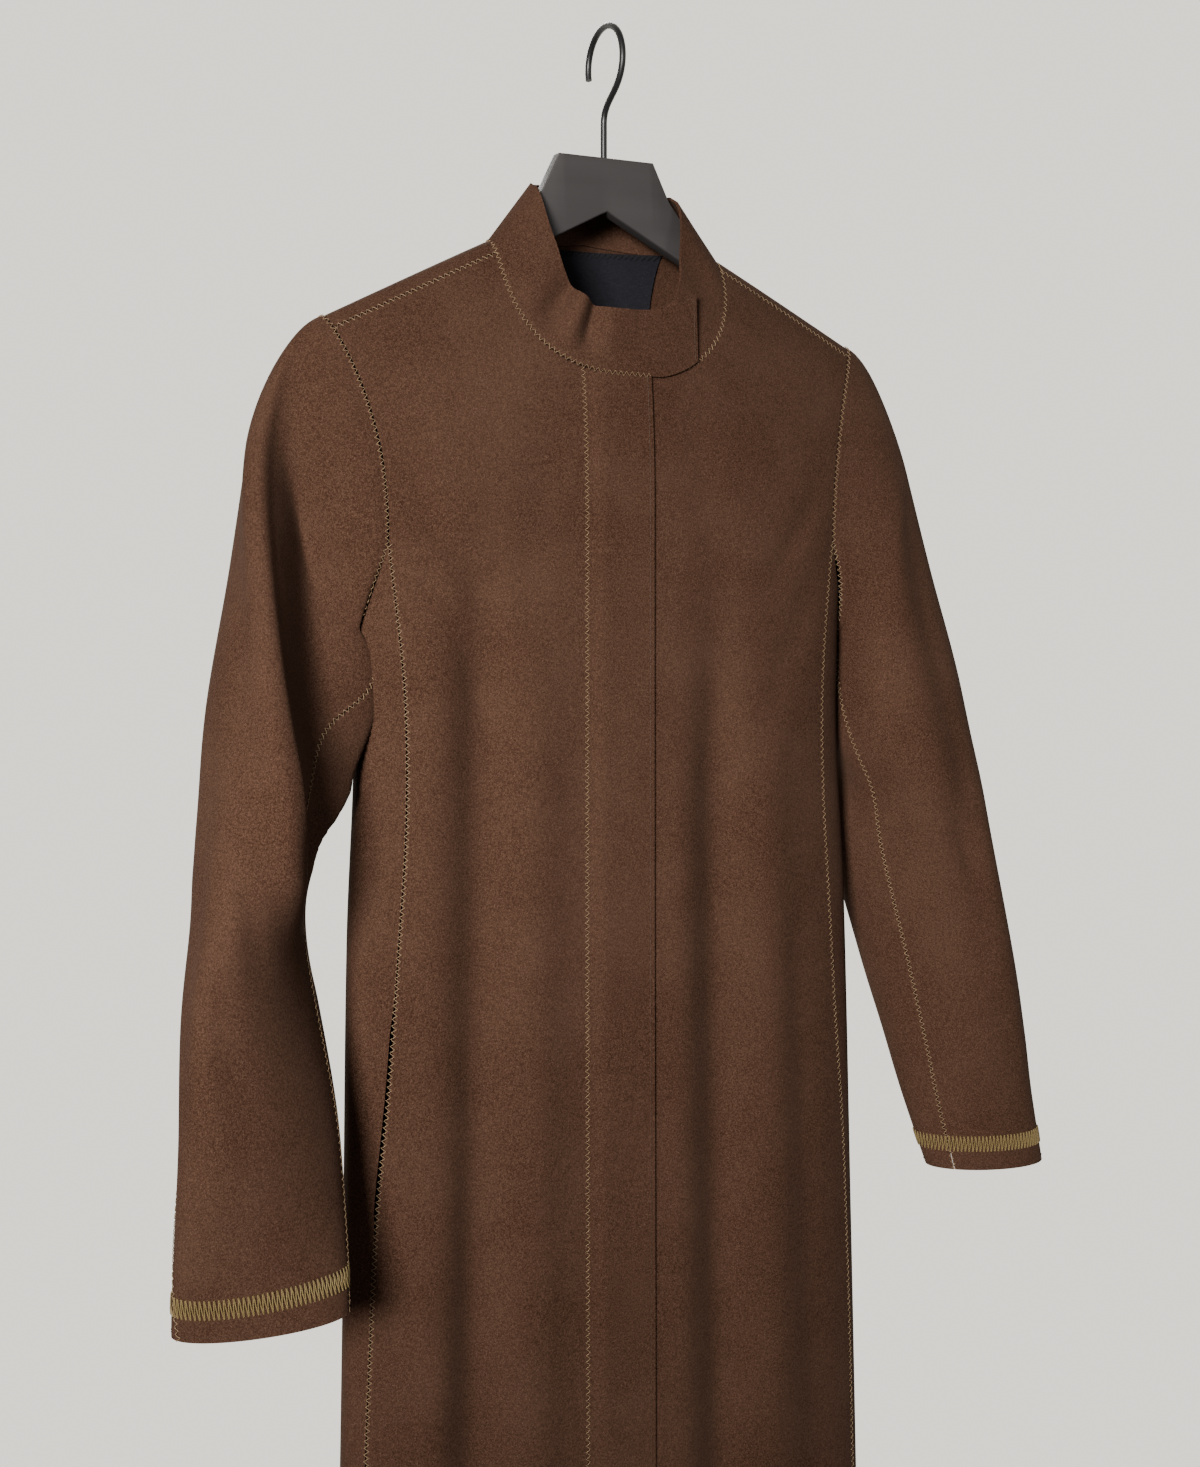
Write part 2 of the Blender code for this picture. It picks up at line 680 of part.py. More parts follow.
def pocket_grid(panel, side):
    """Part of a front panel's points, moved in behind the pocket slit."""
    rows = [r for r in range(len(panel)) if BAG_FROM <= -panel[r, -1, 2] <= BAG_TO]
    inward = side * (WALL / 2 + SEAM_GAP + POCKET_WALL / 2)
    moved = panel + inward * normals_of(panel)
    return moved[rows[0] : rows[-1] + 1, -BAG_COLUMNS:]


def material_of(name, finish):
    """A plain material with the piece's colour."""
    material = bpy.data.materials.new(name)
    material.use_nodes = True
    shader = material.node_tree.nodes["Principled BSDF"]
    shader.inputs["Base Color"].default_value = (*finish.colour, 1.0)
    shader.inputs["Roughness"].default_value = finish.roughness
    shader.inputs["Metallic"].default_value = finish.metallic
    return material


def add_object(name, points, faces, finish):
    """A closed mesh with its faces turned out, as one named object."""
    mesh = bpy.data.meshes.new(name)
    mesh.from_pydata([tuple(map(float, point)) for point in points], [], faces)
    work = bmesh.new()
    work.from_mesh(mesh)
    bmesh.ops.recalc_face_normals(work, faces=work.faces)
    work.to_mesh(mesh)
    work.free()
    mesh.shade_smooth()
    mesh.set_sharp_from_angle(angle=math.radians(SHARP_ANGLE))
    mesh.materials.append(material_of(name, finish))
    thing = bpy.data.objects.new(name, mesh)
    bpy.context.scene.collection.objects.link(thing)
    return thing


def add_wall(name, grid, thickness, finish, normals=None):
    """A cloth piece: a wall of even thickness on a grid's middle surface."""
    rows, columns = grid.shape[:2]
    offset = (normals_of(grid) if normals is None else normals) * thickness / 2
    points = np.concatenate([(grid + offset).reshape(-1, 3), (grid - offset).reshape(-1, 3)])
    count = rows * columns

    def index(row, col, layer):
        return layer * count + row * columns + col

    faces = []
    for row in range(rows - 1):
        for col in range(columns - 1):
            for layer in (0, 1):
                corners = ((row, col), (row, col + 1), (row + 1, col + 1), (row + 1, col))
                faces.append([index(r, c, layer) for r, c in corners])
    rim = [(0, c) for c in range(columns)] + [(r, columns - 1) for r in range(1, rows)]
    rim += [(rows - 1, c) for c in range(columns - 2, -1, -1)] + [(r, 0) for r in range(rows - 2, 0, -1)]
    for a, b in zip(rim, rim[1:] + rim[:1]):
        faces.append([index(*a, 0), index(*b, 0), index(*b, 1), index(*a, 1)])
    return add_object(name, points, faces, finish)


def board_upper(across):
    """Level of the hanger board's upper edge."""
    if across <= HEAD_TOP_HALF:
        return HEAD_TOP_DOWN
    if across <= NECKING_HALF:
        corners = (HEAD_TOP_HALF, HEAD_SIDE_HALF, NECKING_HALF)
        return float(np.interp(across, corners, (HEAD_TOP_DOWN, HEAD_SIDE_DOWN, NECKING_DOWN)))
    arm = float(ridge_down(across)) + WALL / 2 + BOARD_CLEARANCE
    blend = float(ease((across - NECKING_HALF) / NECKING_BLEND))
    neck = NECKING_DOWN + (across - NECKING_HALF) * RIDGE_SLOPE
    return neck + blend * (arm - neck)


def board_section(across):
    """The board's eight-sided section at a place across, as points of the world."""
    distance = abs(across)
    upper = board_upper(distance)
    lower = BOARD_APEX_DOWN + BOARD_LOWER_SLOPE * distance
    thick, cut = BOARD_HALF_THICKNESS, BOARD_CHAMFER
    outline = [
        (thick - cut, upper),
        (thick, upper + cut),
        (thick, lower - cut),
        (thick - cut, lower),
        (cut - thick, lower),
        (-thick, lower - cut),
        (-thick, upper + cut),
        (cut - thick, upper),
    ]
    return [place(across, forward, down) for forward, down in outline]


def add_board():
    """The hanger's flat board: head, necking and two arms, in one piece."""
    half = [*HEAD_STATIONS, *ARM_STATIONS]
    stations = [-x for x in half[:0:-1]] + half
    points = [point for across in stations for point in board_section(across)]
    faces = []
    for station in range(len(stations) - 1):
        for corner in range(8):
            after = (corner + 1) % 8
            a, b = station * 8, (station + 1) * 8
            faces.append([a + corner, a + after, b + after, b + corner])
    faces.append(list(range(8)))
    faces.append([(len(stations) - 1) * 8 + corner for corner in range(8)])
    return add_object("hanger_board", points, faces, BLACK_WOOD)


def hook_route():
    """The hook's centre line as (forward, down): stem, forward bend, then round over the top."""
    centre_down = HOOK_RADIUS - WIRE_RADIUS
    turns = np.radians(np.linspace(HOOK_FRONT_TURN, HOOK_TIP_TURN, HOOK_POINTS))
    arc = [
        (HOOK_CENTRE_FORWARD + HOOK_RADIUS * math.sin(t), centre_down - HOOK_RADIUS * math.cos(t))
        for t in turns
    ]
    start = np.array([0.0, STEM_TOP_DOWN])
    end = np.array(arc[0])
    pull = BEND_PULL * np.linalg.norm(end - start)
    first = start + np.array([0.0, -pull])
    heading = np.array([-math.cos(turns[0]), -math.sin(turns[0])])
    second = end - pull * heading
    bend = []
    for t in np.linspace(0.0, 1.0, BEND_POINTS)[:-1]:
        point = (1 - t) ** 3 * start + 3 * t * (1 - t) ** 2 * first
        bend.append(tuple(point + 3 * t * t * (1 - t) * second + t**3 * end))
    return [(0.0, HEAD_TOP_DOWN - SEAM_GAP)] + bend + arc


def add_hook():
    """The hanger's wire hook, which stands in a plane across the board."""
    route = hook_route()
    curve = bpy.data.curves.new("hanger_hook", "CURVE")
    curve.dimensions = "3D"
    curve.bevel_depth = WIRE_RADIUS
    curve.bevel_resolution = 2
    curve.use_fill_caps = True
    spline = curve.splines.new("POLY")
    spline.points.add(len(route) - 1)
    for point, (forward, down) in zip(spline.points, route):
        point.co = (0.0, -forward, -down, 1.0)
    curve.materials.append(material_of("hanger_hook", BLACK_WIRE))
    thing = bpy.data.objects.new("hanger_hook", curve)
    bpy.context.scene.collection.objects.link(thing)
    return thing


def main():
    """Builds the coat and its hanger."""
    clear_scene()
    front_right = front_grid(-1, RIGHT_FRONT_EDGE)
    front_left = front_grid(1, LEFT_FRONT_EDGE)
    add_wall("front_right", front_right, WALL, WOOL)
    add_wall("front_left", front_left, WALL, WOOL)
    add_wall("placket", placket_grid(), WALL, WOOL)
    add_wall("back", back_grid(), WALL, WOOL)
    add_wall("side_right", side_grid(-1), WALL, WOOL)
    add_wall("side_left", side_grid(1), WALL, WOOL)
    add_wall("collar", collar_grid(), WALL, WOOL)
    for name, side, rings, folds in (
        ("right", -1, RINGS_RIGHT, FOLDS_RIGHT),
        ("left", 1, RINGS_LEFT, FOLDS_LEFT),
    ):
        upper, under = sleeve_grids(side, rings, folds)
        add_wall(f"sleeve_upper_{name}", upper[0], WALL, WOOL, upper[1])
        add_wall(f"sleeve_under_{name}", under[0], WALL, WOOL, under[1])
    add_wall("pocket_bag_right", pocket_grid(front_right, -1), POCKET_WALL, POCKET_CLOTH)
    add_wall("pocket_bag_left", pocket_grid(front_left, 1), POCKET_WALL, POCKET_CLOTH)
    add_wall("label", label_grid(), LABEL_WALL, LABEL_CLOTH)
    add_board()
    add_hook()


main()
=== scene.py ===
"""Looks of a slim wool riding coat on its hanger: cloth, sewing, finishes, light and camera.

Places are given as across (+ to the wearer's left), forward (towards the front) and down
(below the top of the hook's inside), in metres; place() turns them into points of the frame.
"""

from __future__ import annotations

import logging
import math
from dataclasses import dataclass
from enum import Enum
from typing import Any, Callable, Mapping, NamedTuple, Sequence, Union

import bpy
import numpy as np
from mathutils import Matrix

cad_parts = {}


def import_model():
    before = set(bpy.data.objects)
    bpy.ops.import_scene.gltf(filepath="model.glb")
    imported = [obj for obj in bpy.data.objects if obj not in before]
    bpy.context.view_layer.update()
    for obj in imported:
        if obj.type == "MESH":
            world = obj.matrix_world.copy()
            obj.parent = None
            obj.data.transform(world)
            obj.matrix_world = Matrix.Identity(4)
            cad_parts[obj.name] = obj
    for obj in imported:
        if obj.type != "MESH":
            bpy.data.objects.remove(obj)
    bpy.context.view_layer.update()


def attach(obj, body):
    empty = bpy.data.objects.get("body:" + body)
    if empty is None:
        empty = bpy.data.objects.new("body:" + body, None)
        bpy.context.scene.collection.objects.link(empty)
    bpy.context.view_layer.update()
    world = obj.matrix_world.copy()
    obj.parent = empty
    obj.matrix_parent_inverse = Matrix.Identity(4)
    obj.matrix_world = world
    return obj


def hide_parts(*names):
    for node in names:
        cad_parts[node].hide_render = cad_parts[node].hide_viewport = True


Array = np.ndarray
Colour = tuple[float, float, float]
Point = tuple[float, float, float]
Range = tuple[float, float]
log = logging.getLogger("coat")

# Cloth: how thick it is, the gap along a seam, how far one layer stands off the one under it,
# and where each front's edge lies
WALL = 0.002
POCKET_WALL = 0.0012
LABEL_WALL = 0.0008
SEAM_GAP = 0.0003
LAP = 0.0025
RIGHT_FRONT_EDGE = 0.0363
LEFT_FRONT_EDGE = -0.020

# Shares of a crease's length: how far it runs past its ends, and how soon it rises and falls there
CREASE_PAST = 0.25
CREASE_RISE = 0.5
CREASE_FALL = 0.6

# Halvings of a search, the angle past which an edge is shaded sharp, and a guard for divisions
SEARCH_ROUNDS = 40
SHARP_EDGE = math.radians(48)
TINY = 1e-12
EVEN: Colour = (1.0, 1.0, 1.0)


class Side(Enum):
    """The wearer's sides; the value is the sign of across there."""

    RIGHT = -1
    LEFT = 1

    @property
    def word(self) -> str:
        """The side's name as it stands in the nodes' names."""
        return self.name.lower()


class Slot(Enum):
    """Material slots."""

    WOOL = "wool"
    POCKET = "pocket_cloth"
    LABEL = "label_cloth"
    WOOD = "hanger_wood"
    WIRE = "hook_wire"


class Held(Enum):
    """How a sheet of cloth is held."""

    HUNG = "hung"
    LAID = "laid"


class Section(NamedTuple):
    """A level of the body; depths are from its widest line, which lies middle forward."""

    down: float
    half_width: float
    middle: float
    front_depth: float
    back_depth: float


class Seam(NamedTuple):
    """Places of the front and back seams at a level."""

    down: float
    front: float
    back: float


class Fold(NamedTuple):
    """A vertical fold of a panel, which sways on its way to the hem."""

    across: float
    sway: float
    start: float
    depth: float
    half_width: float


class Crease(NamedTuple):
    """A soft trough (or ridge, above 0) along a line from one place to another."""

    x: float
    y: float
    to_x: float
    to_y: float
    depth: float
    half_width: float


class Ring(NamedTuple):
    """A ring of a sleeve: its outer side is raised by tilt, turn is its long axis."""

    down: float
    tilt: float
    across: float
    forward: float
    long: float
    short: float
    turn: float


class SleeveSeam(NamedTuple):
    """Angles of a sleeve's seams at a share of its length."""

    along: float
    front_right: float
    back_right: float
    front_left: float
    back_left: float


class SleeveFold(NamedTuple):
    """A fold along a sleeve, in degrees round it and ring steps along it."""

    angle: float
    to_angle: float
    start: float
    end: float
    depth: float
    half_width: float


class Tuck(NamedTuple):
    """A sharp fold along a sleeve: the cloth drops past its edge over onset, then recovers."""

    angle: float
    to_angle: float
    start: float
    end: float
    depth: float
    onset: float
    recover: float


class Web(NamedTuple):
    """Cloth of a sleeve that is pulled straight from a crease's edge to another angle."""

    angle: float
    to_angle: float
    far: float
    start: float
    end: float
    sag: float


class Lean(NamedTuple):
    """How the collar's top edge stands over the neck seam, by turn from centre back."""

    turn: float
    keep: float
    rise: float
    forward: float


class Ripple(NamedTuple):
    """A ripple of the collar at a turn on the wearer's right; slant moves it along at the top."""

    turn: float
    slant: float
    depth: float
    half_width: float


SECTIONS = [
    Section(0.12, 0.262, 0.010, 0.034, 0.046),
    Section(0.21, 0.250, 0.010, 0.034, 0.046),
    Section(0.26, 0.226, 0.010, 0.034, 0.046),
    Section(0.35, 0.191, 0.010, 0.034, 0.047),
    Section(0.45, 0.182, 0.011, 0.033, 0.049),
    Section(0.60, 0.187, 0.014, 0.030, 0.052),
    Section(0.83, 0.191, 0.018, 0.027, 0.056),
    Section(1.24, 0.199, 0.021, 0.025, 0.060),
]
SEAMS = [
    Seam(0.35, 0.168, 0.168),
    Seam(0.45, 0.158, 0.152),
    Seam(0.53, 0.158, 0.148),
    Seam(0.605, 0.163, 0.150),
    Seam(0.69, 0.169, 0.153),
    Seam(0.765, 0.176, 0.157),
    Seam(0.865, 0.181, 0.161),
    Seam(1.24, 0.190, 0.170),
]
FRONT_FOLDS = [
    Fold(-0.140, -0.012, 0.34, 0.0030, 0.017),
    Fold(-0.107, -0.010, 0.30, -0.0078, 0.017),
    Fold(-0.070, -0.004, 0.36, 0.0036, 0.018),
    Fold(0.034, 0.002, 0.42, 0.0024, 0.014),
    Fold(0.064, 0.006, 0.34, -0.0075, 0.017),
    Fold(0.104, 0.014, 0.40, 0.0042, 0.020),
]
BACK_FOLDS = [
    Fold(-0.112, -0.010, 0.36, 0.0040, 0.020),
    Fold(-0.066, -0.012, 0.30, -0.0074, 0.019),
    Fold(-0.010, 0.004, 0.40, 0.0046, 0.022),
    Fold(0.054, 0.010, 0.34, -0.0068, 0.018),
    Fold(0.104, 0.012, 0.44, 0.0040, 0.020),
]
FRONT_CREASES = [
    Crease(-0.158, 0.315, -0.108, 0.385, -0.0022, 0.010),
    Crease(-0.150, 0.365, -0.095, 0.470, -0.0016, 0.012),
    Crease(-0.060, 0.270, -0.085, 0.420, -0.0010, 0.014),
    Crease(0.158, 0.310, 0.112, 0.372, -0.0020, 0.010),
    Crease(0.150, 0.372, 0.090, 0.500, -0.0014, 0.013),
    Crease(0.046, 0.262, 0.072, 0.400, -0.0012, 0.014),
    Crease(-0.128, 0.700, -0.150, 1.100, 0.0012, 0.012),
    Crease(0.128, 0.620, 0.150, 1.050, -0.0012, 0.012),
]
BACK_CREASES = [
    Crease(-0.150, 0.300, -0.100, 0.380, -0.0022, 0.011),
    Crease(0.152, 0.312, 0.098, 0.372, -0.0020, 0.010),
    Crease(-0.142, 0.360, -0.070, 0.480, -0.0015, 0.013),
    Crease(0.140, 0.352, 0.078, 0.500, -0.0017, 0.014),
    Crease(-0.030, 0.190, -0.060, 0.300, -0.0012, 0.013),
    Crease(0.034, 0.185, 0.052, 0.320, -0.0014, 0.012),
    Crease(0.020, 0.640, 0.030, 1.120, -0.0016, 0.014),
]
RINGS: dict[Side, list[Ring]] = {
    Side.RIGHT: [
        Ring(0.360, 0.068, 0.2185, 0.003, 0.044, 0.0290, 90),
        Ring(0.420, 0.050, 0.2250, 0.008, 0.051, 0.0375, 88),
        Ring(0.478, 0.027, 0.2365, 0.020, 0.055, 0.0440, 82),
        Ring(0.525, 0.010, 0.2525, 0.033, 0.057, 0.0370, 72),
        Ring(0.565, 0.003, 0.2605, 0.043, 0.057, 0.0310, 62),
        Ring(0.618, 0.000, 0.2625, 0.051, 0.055, 0.0290, 42),
        Ring(0.692, 0.000, 0.2600, 0.063, 0.052, 0.0270, 20),
        Ring(0.750, 0.000, 0.2615, 0.071, 0.050, 0.0215, 2),
        Ring(0.797, -0.002, 0.2640, 0.078, 0.0490, 0.0170, -15),
    ],
    Side.LEFT: [
        Ring(0.360, 0.068, 0.2180, 0.000, 0.042, 0.0290, 90),
        Ring(0.420, 0.050, 0.2270, 0.003, 0.048, 0.0390, 85),
        Ring(0.478, 0.027, 0.2370, 0.010, 0.053, 0.0460, 75),
        Ring(0.525, 0.010, 0.2420, 0.016, 0.058, 0.0390, 60),
        Ring(0.570, 0.003, 0.2450, 0.021, 0.060, 0.0330, 50),
        Ring(0.655, 0.000, 0.2620, 0.030, 0.056, 0.0310, 45),
        Ring(0.710, 0.000, 0.2725, 0.037, 0.051, 0.0290, 38),
        Ring(0.755, 0.000, 0.2800, 0.043, 0.047, 0.0230, 30),
        Ring(0.807, 0.000, 0.2910, 0.050, 0.0430, 0.0190, 21),
    ],
}
SLEEVE_SEAMS = [
    SleeveSeam(0.0, 176, -95, 176, -95),
    SleeveSeam(0.16, 158, -85, 168, -85),
    SleeveSeam(0.38, 120, -69, 157, -70),
    SleeveSeam(0.52, 148, -57, 153, -61),
    SleeveSeam(0.8, 166, -14, 151, -45),
    SleeveSeam(1.0, 164, 8, 150, -32),
]
SLEEVE_FOLDS: dict[Side, list[SleeveFold]] = {
    Side.RIGHT: [
        SleeveFold(-8, 148, -0.8, 4.6, 0.0085, 17),
        SleeveFold(164, 162, -1.1, 1.8, 0.0150, 26),
        SleeveFold(152, 156, -1.05, 1.0, 0.0060, 20),
        SleeveFold(20, 20, 1.5, 6.5, -0.0025, 16),
        SleeveFold(-70, -70, -0.6, 5.0, -0.0040, 20),
    ],
    Side.LEFT: [
        SleeveFold(60, 86, -0.7, 5.2, -0.0060, 24),
        SleeveFold(112, 108, -0.9, 4.6, 0.0030, 22),
        SleeveFold(136, 130, -0.4, 4.2, 0.0030, 18),
        SleeveFold(-72, -72, -0.6, 5.0, -0.0040, 20),
    ],
}
TUCKS: dict[Side, list[Tuck]] = {
    Side.RIGHT: [
        Tuck(-50, -38, -0.4, 4.0, 0.0050, 9, 24),
    ],
    Side.LEFT: [
        Tuck(-46, -40, -0.4, 4.2, 0.0050, 9, 24),
    ],
}
WEBS: dict[Side, list[Web]] = {
    Side.RIGHT: [Web(-6, 156, 165, -0.95, 4.4, 0.008)],
    Side.LEFT: [],
}
# Finer creases of the sleeves, in degrees round and ring steps along
SLEEVE_CREASES: dict[Side, list[Crease]] = {
    Side.RIGHT: [
        Crease(30, -0.55, 44, 1.6, -0.0014, 0.012),
        Crease(70, 3.4, 100, 4.6, -0.0024, 0.011),
        Crease(60, 4.6, 84, 5.9, -0.0018, 0.012),
        Crease(-40, 1.0, -20, 3.4, -0.0022, 0.013),
        Crease(-60, 3.2, -30, 4.4, -0.0026, 0.012),
        Crease(190, 1.6, 170, 3.2, -0.0030, 0.014),
        Crease(210, 3.6, 186, 4.9, -0.0024, 0.013),
    ],
    Side.LEFT: [
        Crease(40, -0.60, 52, 1.2, -0.0014, 0.012),
        Crease(104, 3.2, 80, 4.4, -0.0020, 0.012),
        Crease(92, 4.8, 76, 6.4, -0.0014, 0.012),
        Crease(-34, 0.8, -22, 3.6, -0.0022, 0.013),
        Crease(-66, 3.4, -36, 4.6, -0.0026, 0.012),
        Crease(196, 1.8, 176, 3.4, -0.0028, 0.014),
    ],
}
LEANS = [
    Lean(0, 0.86, 0.0440, -0.0040),
    Lean(45, 0.64, 0.0440, -0.0040),
    Lean(70, 0.60, 0.0430, -0.0030),
    Lean(90, 0.62, 0.0420, -0.0010),
    Lean(120, 0.61, 0.0405, -0.0035),
    Lean(150, 0.70, 0.0420, -0.0030),
    Lean(180, 0.95, 0.0435, -0.0030),
]
RIPPLES = [
    Ripple(112, 4, 0.0020, 10),
    Ripple(131, 6, -0.0060, 8),
    Ripple(147, 4, 0.0034, 6),
    Ripple(158, 5, -0.0050, 6),
    Ripple(171, 3, 0.0022, 7),
    Ripple(60, 3, -0.0024, 9),
    Ripple(-158, 0, -0.0040, 9),
    Ripple(-110, 0, -0.0024, 12),
]


def column(rows: Sequence[Any], name: str) -> Array:
    """One column of a table."""
    return np.array([getattr(row, name) for row in rows], float)


def smooth(at: Any, places: Any, values: Any) -> Array:
    """Reads a smooth curve through a table's rows.

    Args:
        at: where to read it, one place or many.
        places: the rows' places, rising.
        values: the rows' values.

    Returns:
        The curve's values; past the ends the first or last value.
    """
    places = np.asarray(places, float)
    values = np.asarray(values, float)
    slopes = np.gradient(values, places)
    at = np.clip(np.asarray(at, float), places[0], places[-1])
    low = np.clip(np.searchsorted(places, at) - 1, 0, len(places) - 2)
    step = places[low + 1] - places[low]
    t = (at - places[low]) / step
    start = (1 + 2 * t) * (1 - t) ** 2 * values[low] + t * (1 - t) ** 2 * step * slopes[low]
    end = t * t * (3 - 2 * t) * values[low + 1] + t * t * (t - 1) * step * slopes[low + 1]
    return start + end


def ease(t: Any) -> Array:
    """A smooth step from 0 to 1 as t goes from 0 to 1."""
    t = np.clip(t, 0.0, 1.0)
    return t * t * (3 - 2 * t)


def window(at: Any, start: float, end: float, fade: float) -> Array:
    """1 between start and end, fading out over fade at both."""
    return ease((at - start) / fade) * ease((end - at) / fade)


def place(across: Any, forward: Any, down: Any) -> Array:
    """Points of the frame from places on the coat."""
    across, forward, down = np.broadcast_arrays(across, forward, down)
    return np.stack([across, -forward, -down], axis=-1)


def bisect(test: Callable[[float], float], low: float, high: float) -> float:
    """Finds where a rising test turns positive.

    Args:
        test: a function that is below 0 at low and above 0 at high.
        low: lower end of the search.
        high: upper end of the search.

    Returns:
        The place where it crosses 0.
    """
    for _ in range(SEARCH_ROUNDS):
        middle = (low + high) / 2
        low, high = (middle, high) if test(middle) < 0 else (low, middle)
    return (low + high) / 2


def crease_relief(creases: Sequence[Crease], x: Array, y: Array) -> Array:
    """Adds up soft troughs and ridges along lines.

    Args:
        creases: the lines, in the same units as x and y.
        x: places along the first direction.
        y: places along the second direction.

    Returns:
        Height of the surface over the plain form.
    """
    relief = np.zeros(np.broadcast(x, y).shape)
    for crease in creases:
        dx, dy = crease.to_x - crease.x, crease.to_y - crease.y
        t = ((x - crease.x) * dx + (y - crease.y) * dy) / (dx * dx + dy * dy)
        near = np.clip(t, 0.0, 1.0)
        off = np.hypot(x - crease.x - near * dx, y - crease.y - near * dy) / crease.half_width
        ends = ease((t + CREASE_PAST) / CREASE_RISE) * ease((1 + CREASE_PAST - t) / CREASE_FALL)
        relief += crease.depth * np.exp(-off * off) * ends
    return relief


def normals_of(grid: Array) -> Array:
    """Unit normals of a grid of points."""
    normals = np.cross(np.gradient(grid, axis=1), np.gradient(grid, axis=0))
    return normals / np.maximum(np.linalg.norm(normals, axis=2, keepdims=True), TINY)


# Shader graphs

Operand = Union["Shade", float]
NOISE_ROUGH = 0.6

# Sockets of a Mix node that mixes colours
MIX_COLOURS = (6, 7)
MIX_RESULT = 2


class Graph:
    """The node tree of a material or of the surroundings, built by calls."""

    def __init__(self, owner: bpy.types.Material | bpy.types.World) -> None:
        """Starts the owner's tree with no nodes.

        Args:
            owner: the material or the surroundings.
        """
        self.owner = owner
        owner.use_nodes = True
        self.tree = owner.node_tree
        self.tree.nodes.clear()

    @classmethod
    def material(cls, name: str) -> Graph:
        """Starts a new material of that name."""
        return cls(bpy.data.materials.new(name))

    def node(self, kind: str, settings: Mapping[str, Any], inputs: Mapping[Any, Any]) -> bpy.types.Node:
        """Adds a node.

        Args:
            kind: the node's type.
            settings: its own settings, set before its sockets.
            inputs: socket name or number to a value, a socket or a Shade.

        Returns:
            The new node.
        """
        made = self.tree.nodes.new(kind)
        for key, value in settings.items():
            setattr(made, key, value)
        for key, value in inputs.items():
            source = value.socket if isinstance(value, Shade) else value
            if isinstance(source, bpy.types.NodeSocket):
                self.tree.links.new(source, made.inputs[key])
            else:
                made.inputs[key].default_value = source
        return made

    def places(self, stretch: Colour = EVEN) -> bpy.types.NodeSocket:
        """Object coordinates, stretched along each axis.

        Args:
            stretch: factors on the coordinates.

        Returns:
            The coordinates' socket.
        """
        where = self.node("ShaderNodeTexCoord", {}, {}).outputs["Object"]
        scaled = self.node("ShaderNodeVectorMath", {"operation": "MULTIPLY"}, {0: where, 1: stretch})
        return scaled.outputs[0]

    def noise(self, scale: float, detail: int, stretch: Colour = EVEN) -> Shade:
        """Cloudy values from 0 to 1.

        Args:
            scale: clouds to a metre.
            detail: octaves of finer clouds.
            stretch: factors on the coordinates.

        Returns:
            The noise as a shader value.
        """
        sockets = {
            "Vector": self.places(stretch),
            "Scale": scale,
            "Detail": detail,
            "Roughness": NOISE_ROUGH,
        }
        return Shade(self, self.node("ShaderNodeTexNoise", {}, sockets).outputs[0])

    def spread(self, value: Shade, limits: Range) -> Shade:
        """A value that goes from 0 to 1 between the limits."""
        sockets = {"Value": value, "From Min": limits[0], "From Max": limits[1]}
        return Shade(self, self.node("ShaderNodeMapRange", {"clamp": True}, sockets).outputs[0])

    def blend(self, factor: Operand, first: Any, second: Any) -> bpy.types.NodeSocket:
        """Mixes two colours.

        Args:
            factor: 0 for the first, 1 for the second.
            first: a colour or a socket.
            second: a colour or a socket.

        Returns:
            The mixed colour's socket.
        """
        sockets = {0: factor}
        for number, colour in zip(MIX_COLOURS, (first, second)):
            sockets[number] = (*colour, 1.0) if isinstance(colour, tuple) else colour
        return self.node("ShaderNodeMix", {"data_type": "RGBA"}, sockets).outputs[MIX_RESULT]

    def bump(self, height: Shade, strength: float, distance: float) -> bpy.types.NodeSocket:
        """A normal from a height, with the bumps' strength and depth."""
        sockets = {"Height": height, "Strength": strength, "Distance": distance}
        return self.node("ShaderNodeBump", {}, sockets).outputs["Normal"]

    def finish(self, sockets: Mapping[str, Any]) -> bpy.types.Material:
        """Ends the graph in one Principled shader.

        Args:
            sockets: the shader's values and links by socket name.

        Returns:
            The material.
        """
        shader = self.node("ShaderNodeBsdfPrincipled", {}, sockets)
        self.node("ShaderNodeOutputMaterial", {}, {"Surface": shader.outputs[0]})
        return self.owner


class Shade:
    """A shader value whose sums and products add Math nodes."""

    def __init__(self, graph: Graph, socket: bpy.types.NodeSocket) -> None:
        """Wraps a socket of the graph."""
        self.graph = graph
        self.socket = socket

    def joined(self, operation: str, first: Operand, second: Operand) -> Shade:
        """The result of a Math node on two operands."""
        made = self.graph.node("ShaderNodeMath", {"operation": operation}, {0: first, 1: second})
        return Shade(self.graph, made.outputs[0])

    def __add__(self, other: Operand) -> Shade:
        """This plus other."""
        return self.joined("ADD", self, other)

    def __radd__(self, other: Operand) -> Shade:
        """Other plus this."""
        return self.joined("ADD", other, self)

    def __sub__(self, other: Operand) -> Shade:
        """This less other."""
        return self.joined("SUBTRACT", self, other)

    def __rsub__(self, other: Operand) -> Shade:
        """Other less this."""
        return self.joined("SUBTRACT", other, self)

    def __mul__(self, other: Operand) -> Shade:
        """This times other."""
        return self.joined("MULTIPLY", self, other)

    def __rmul__(self, other: Operand) -> Shade:
        """Other times this."""
        return self.joined("MULTIPLY", other, self)


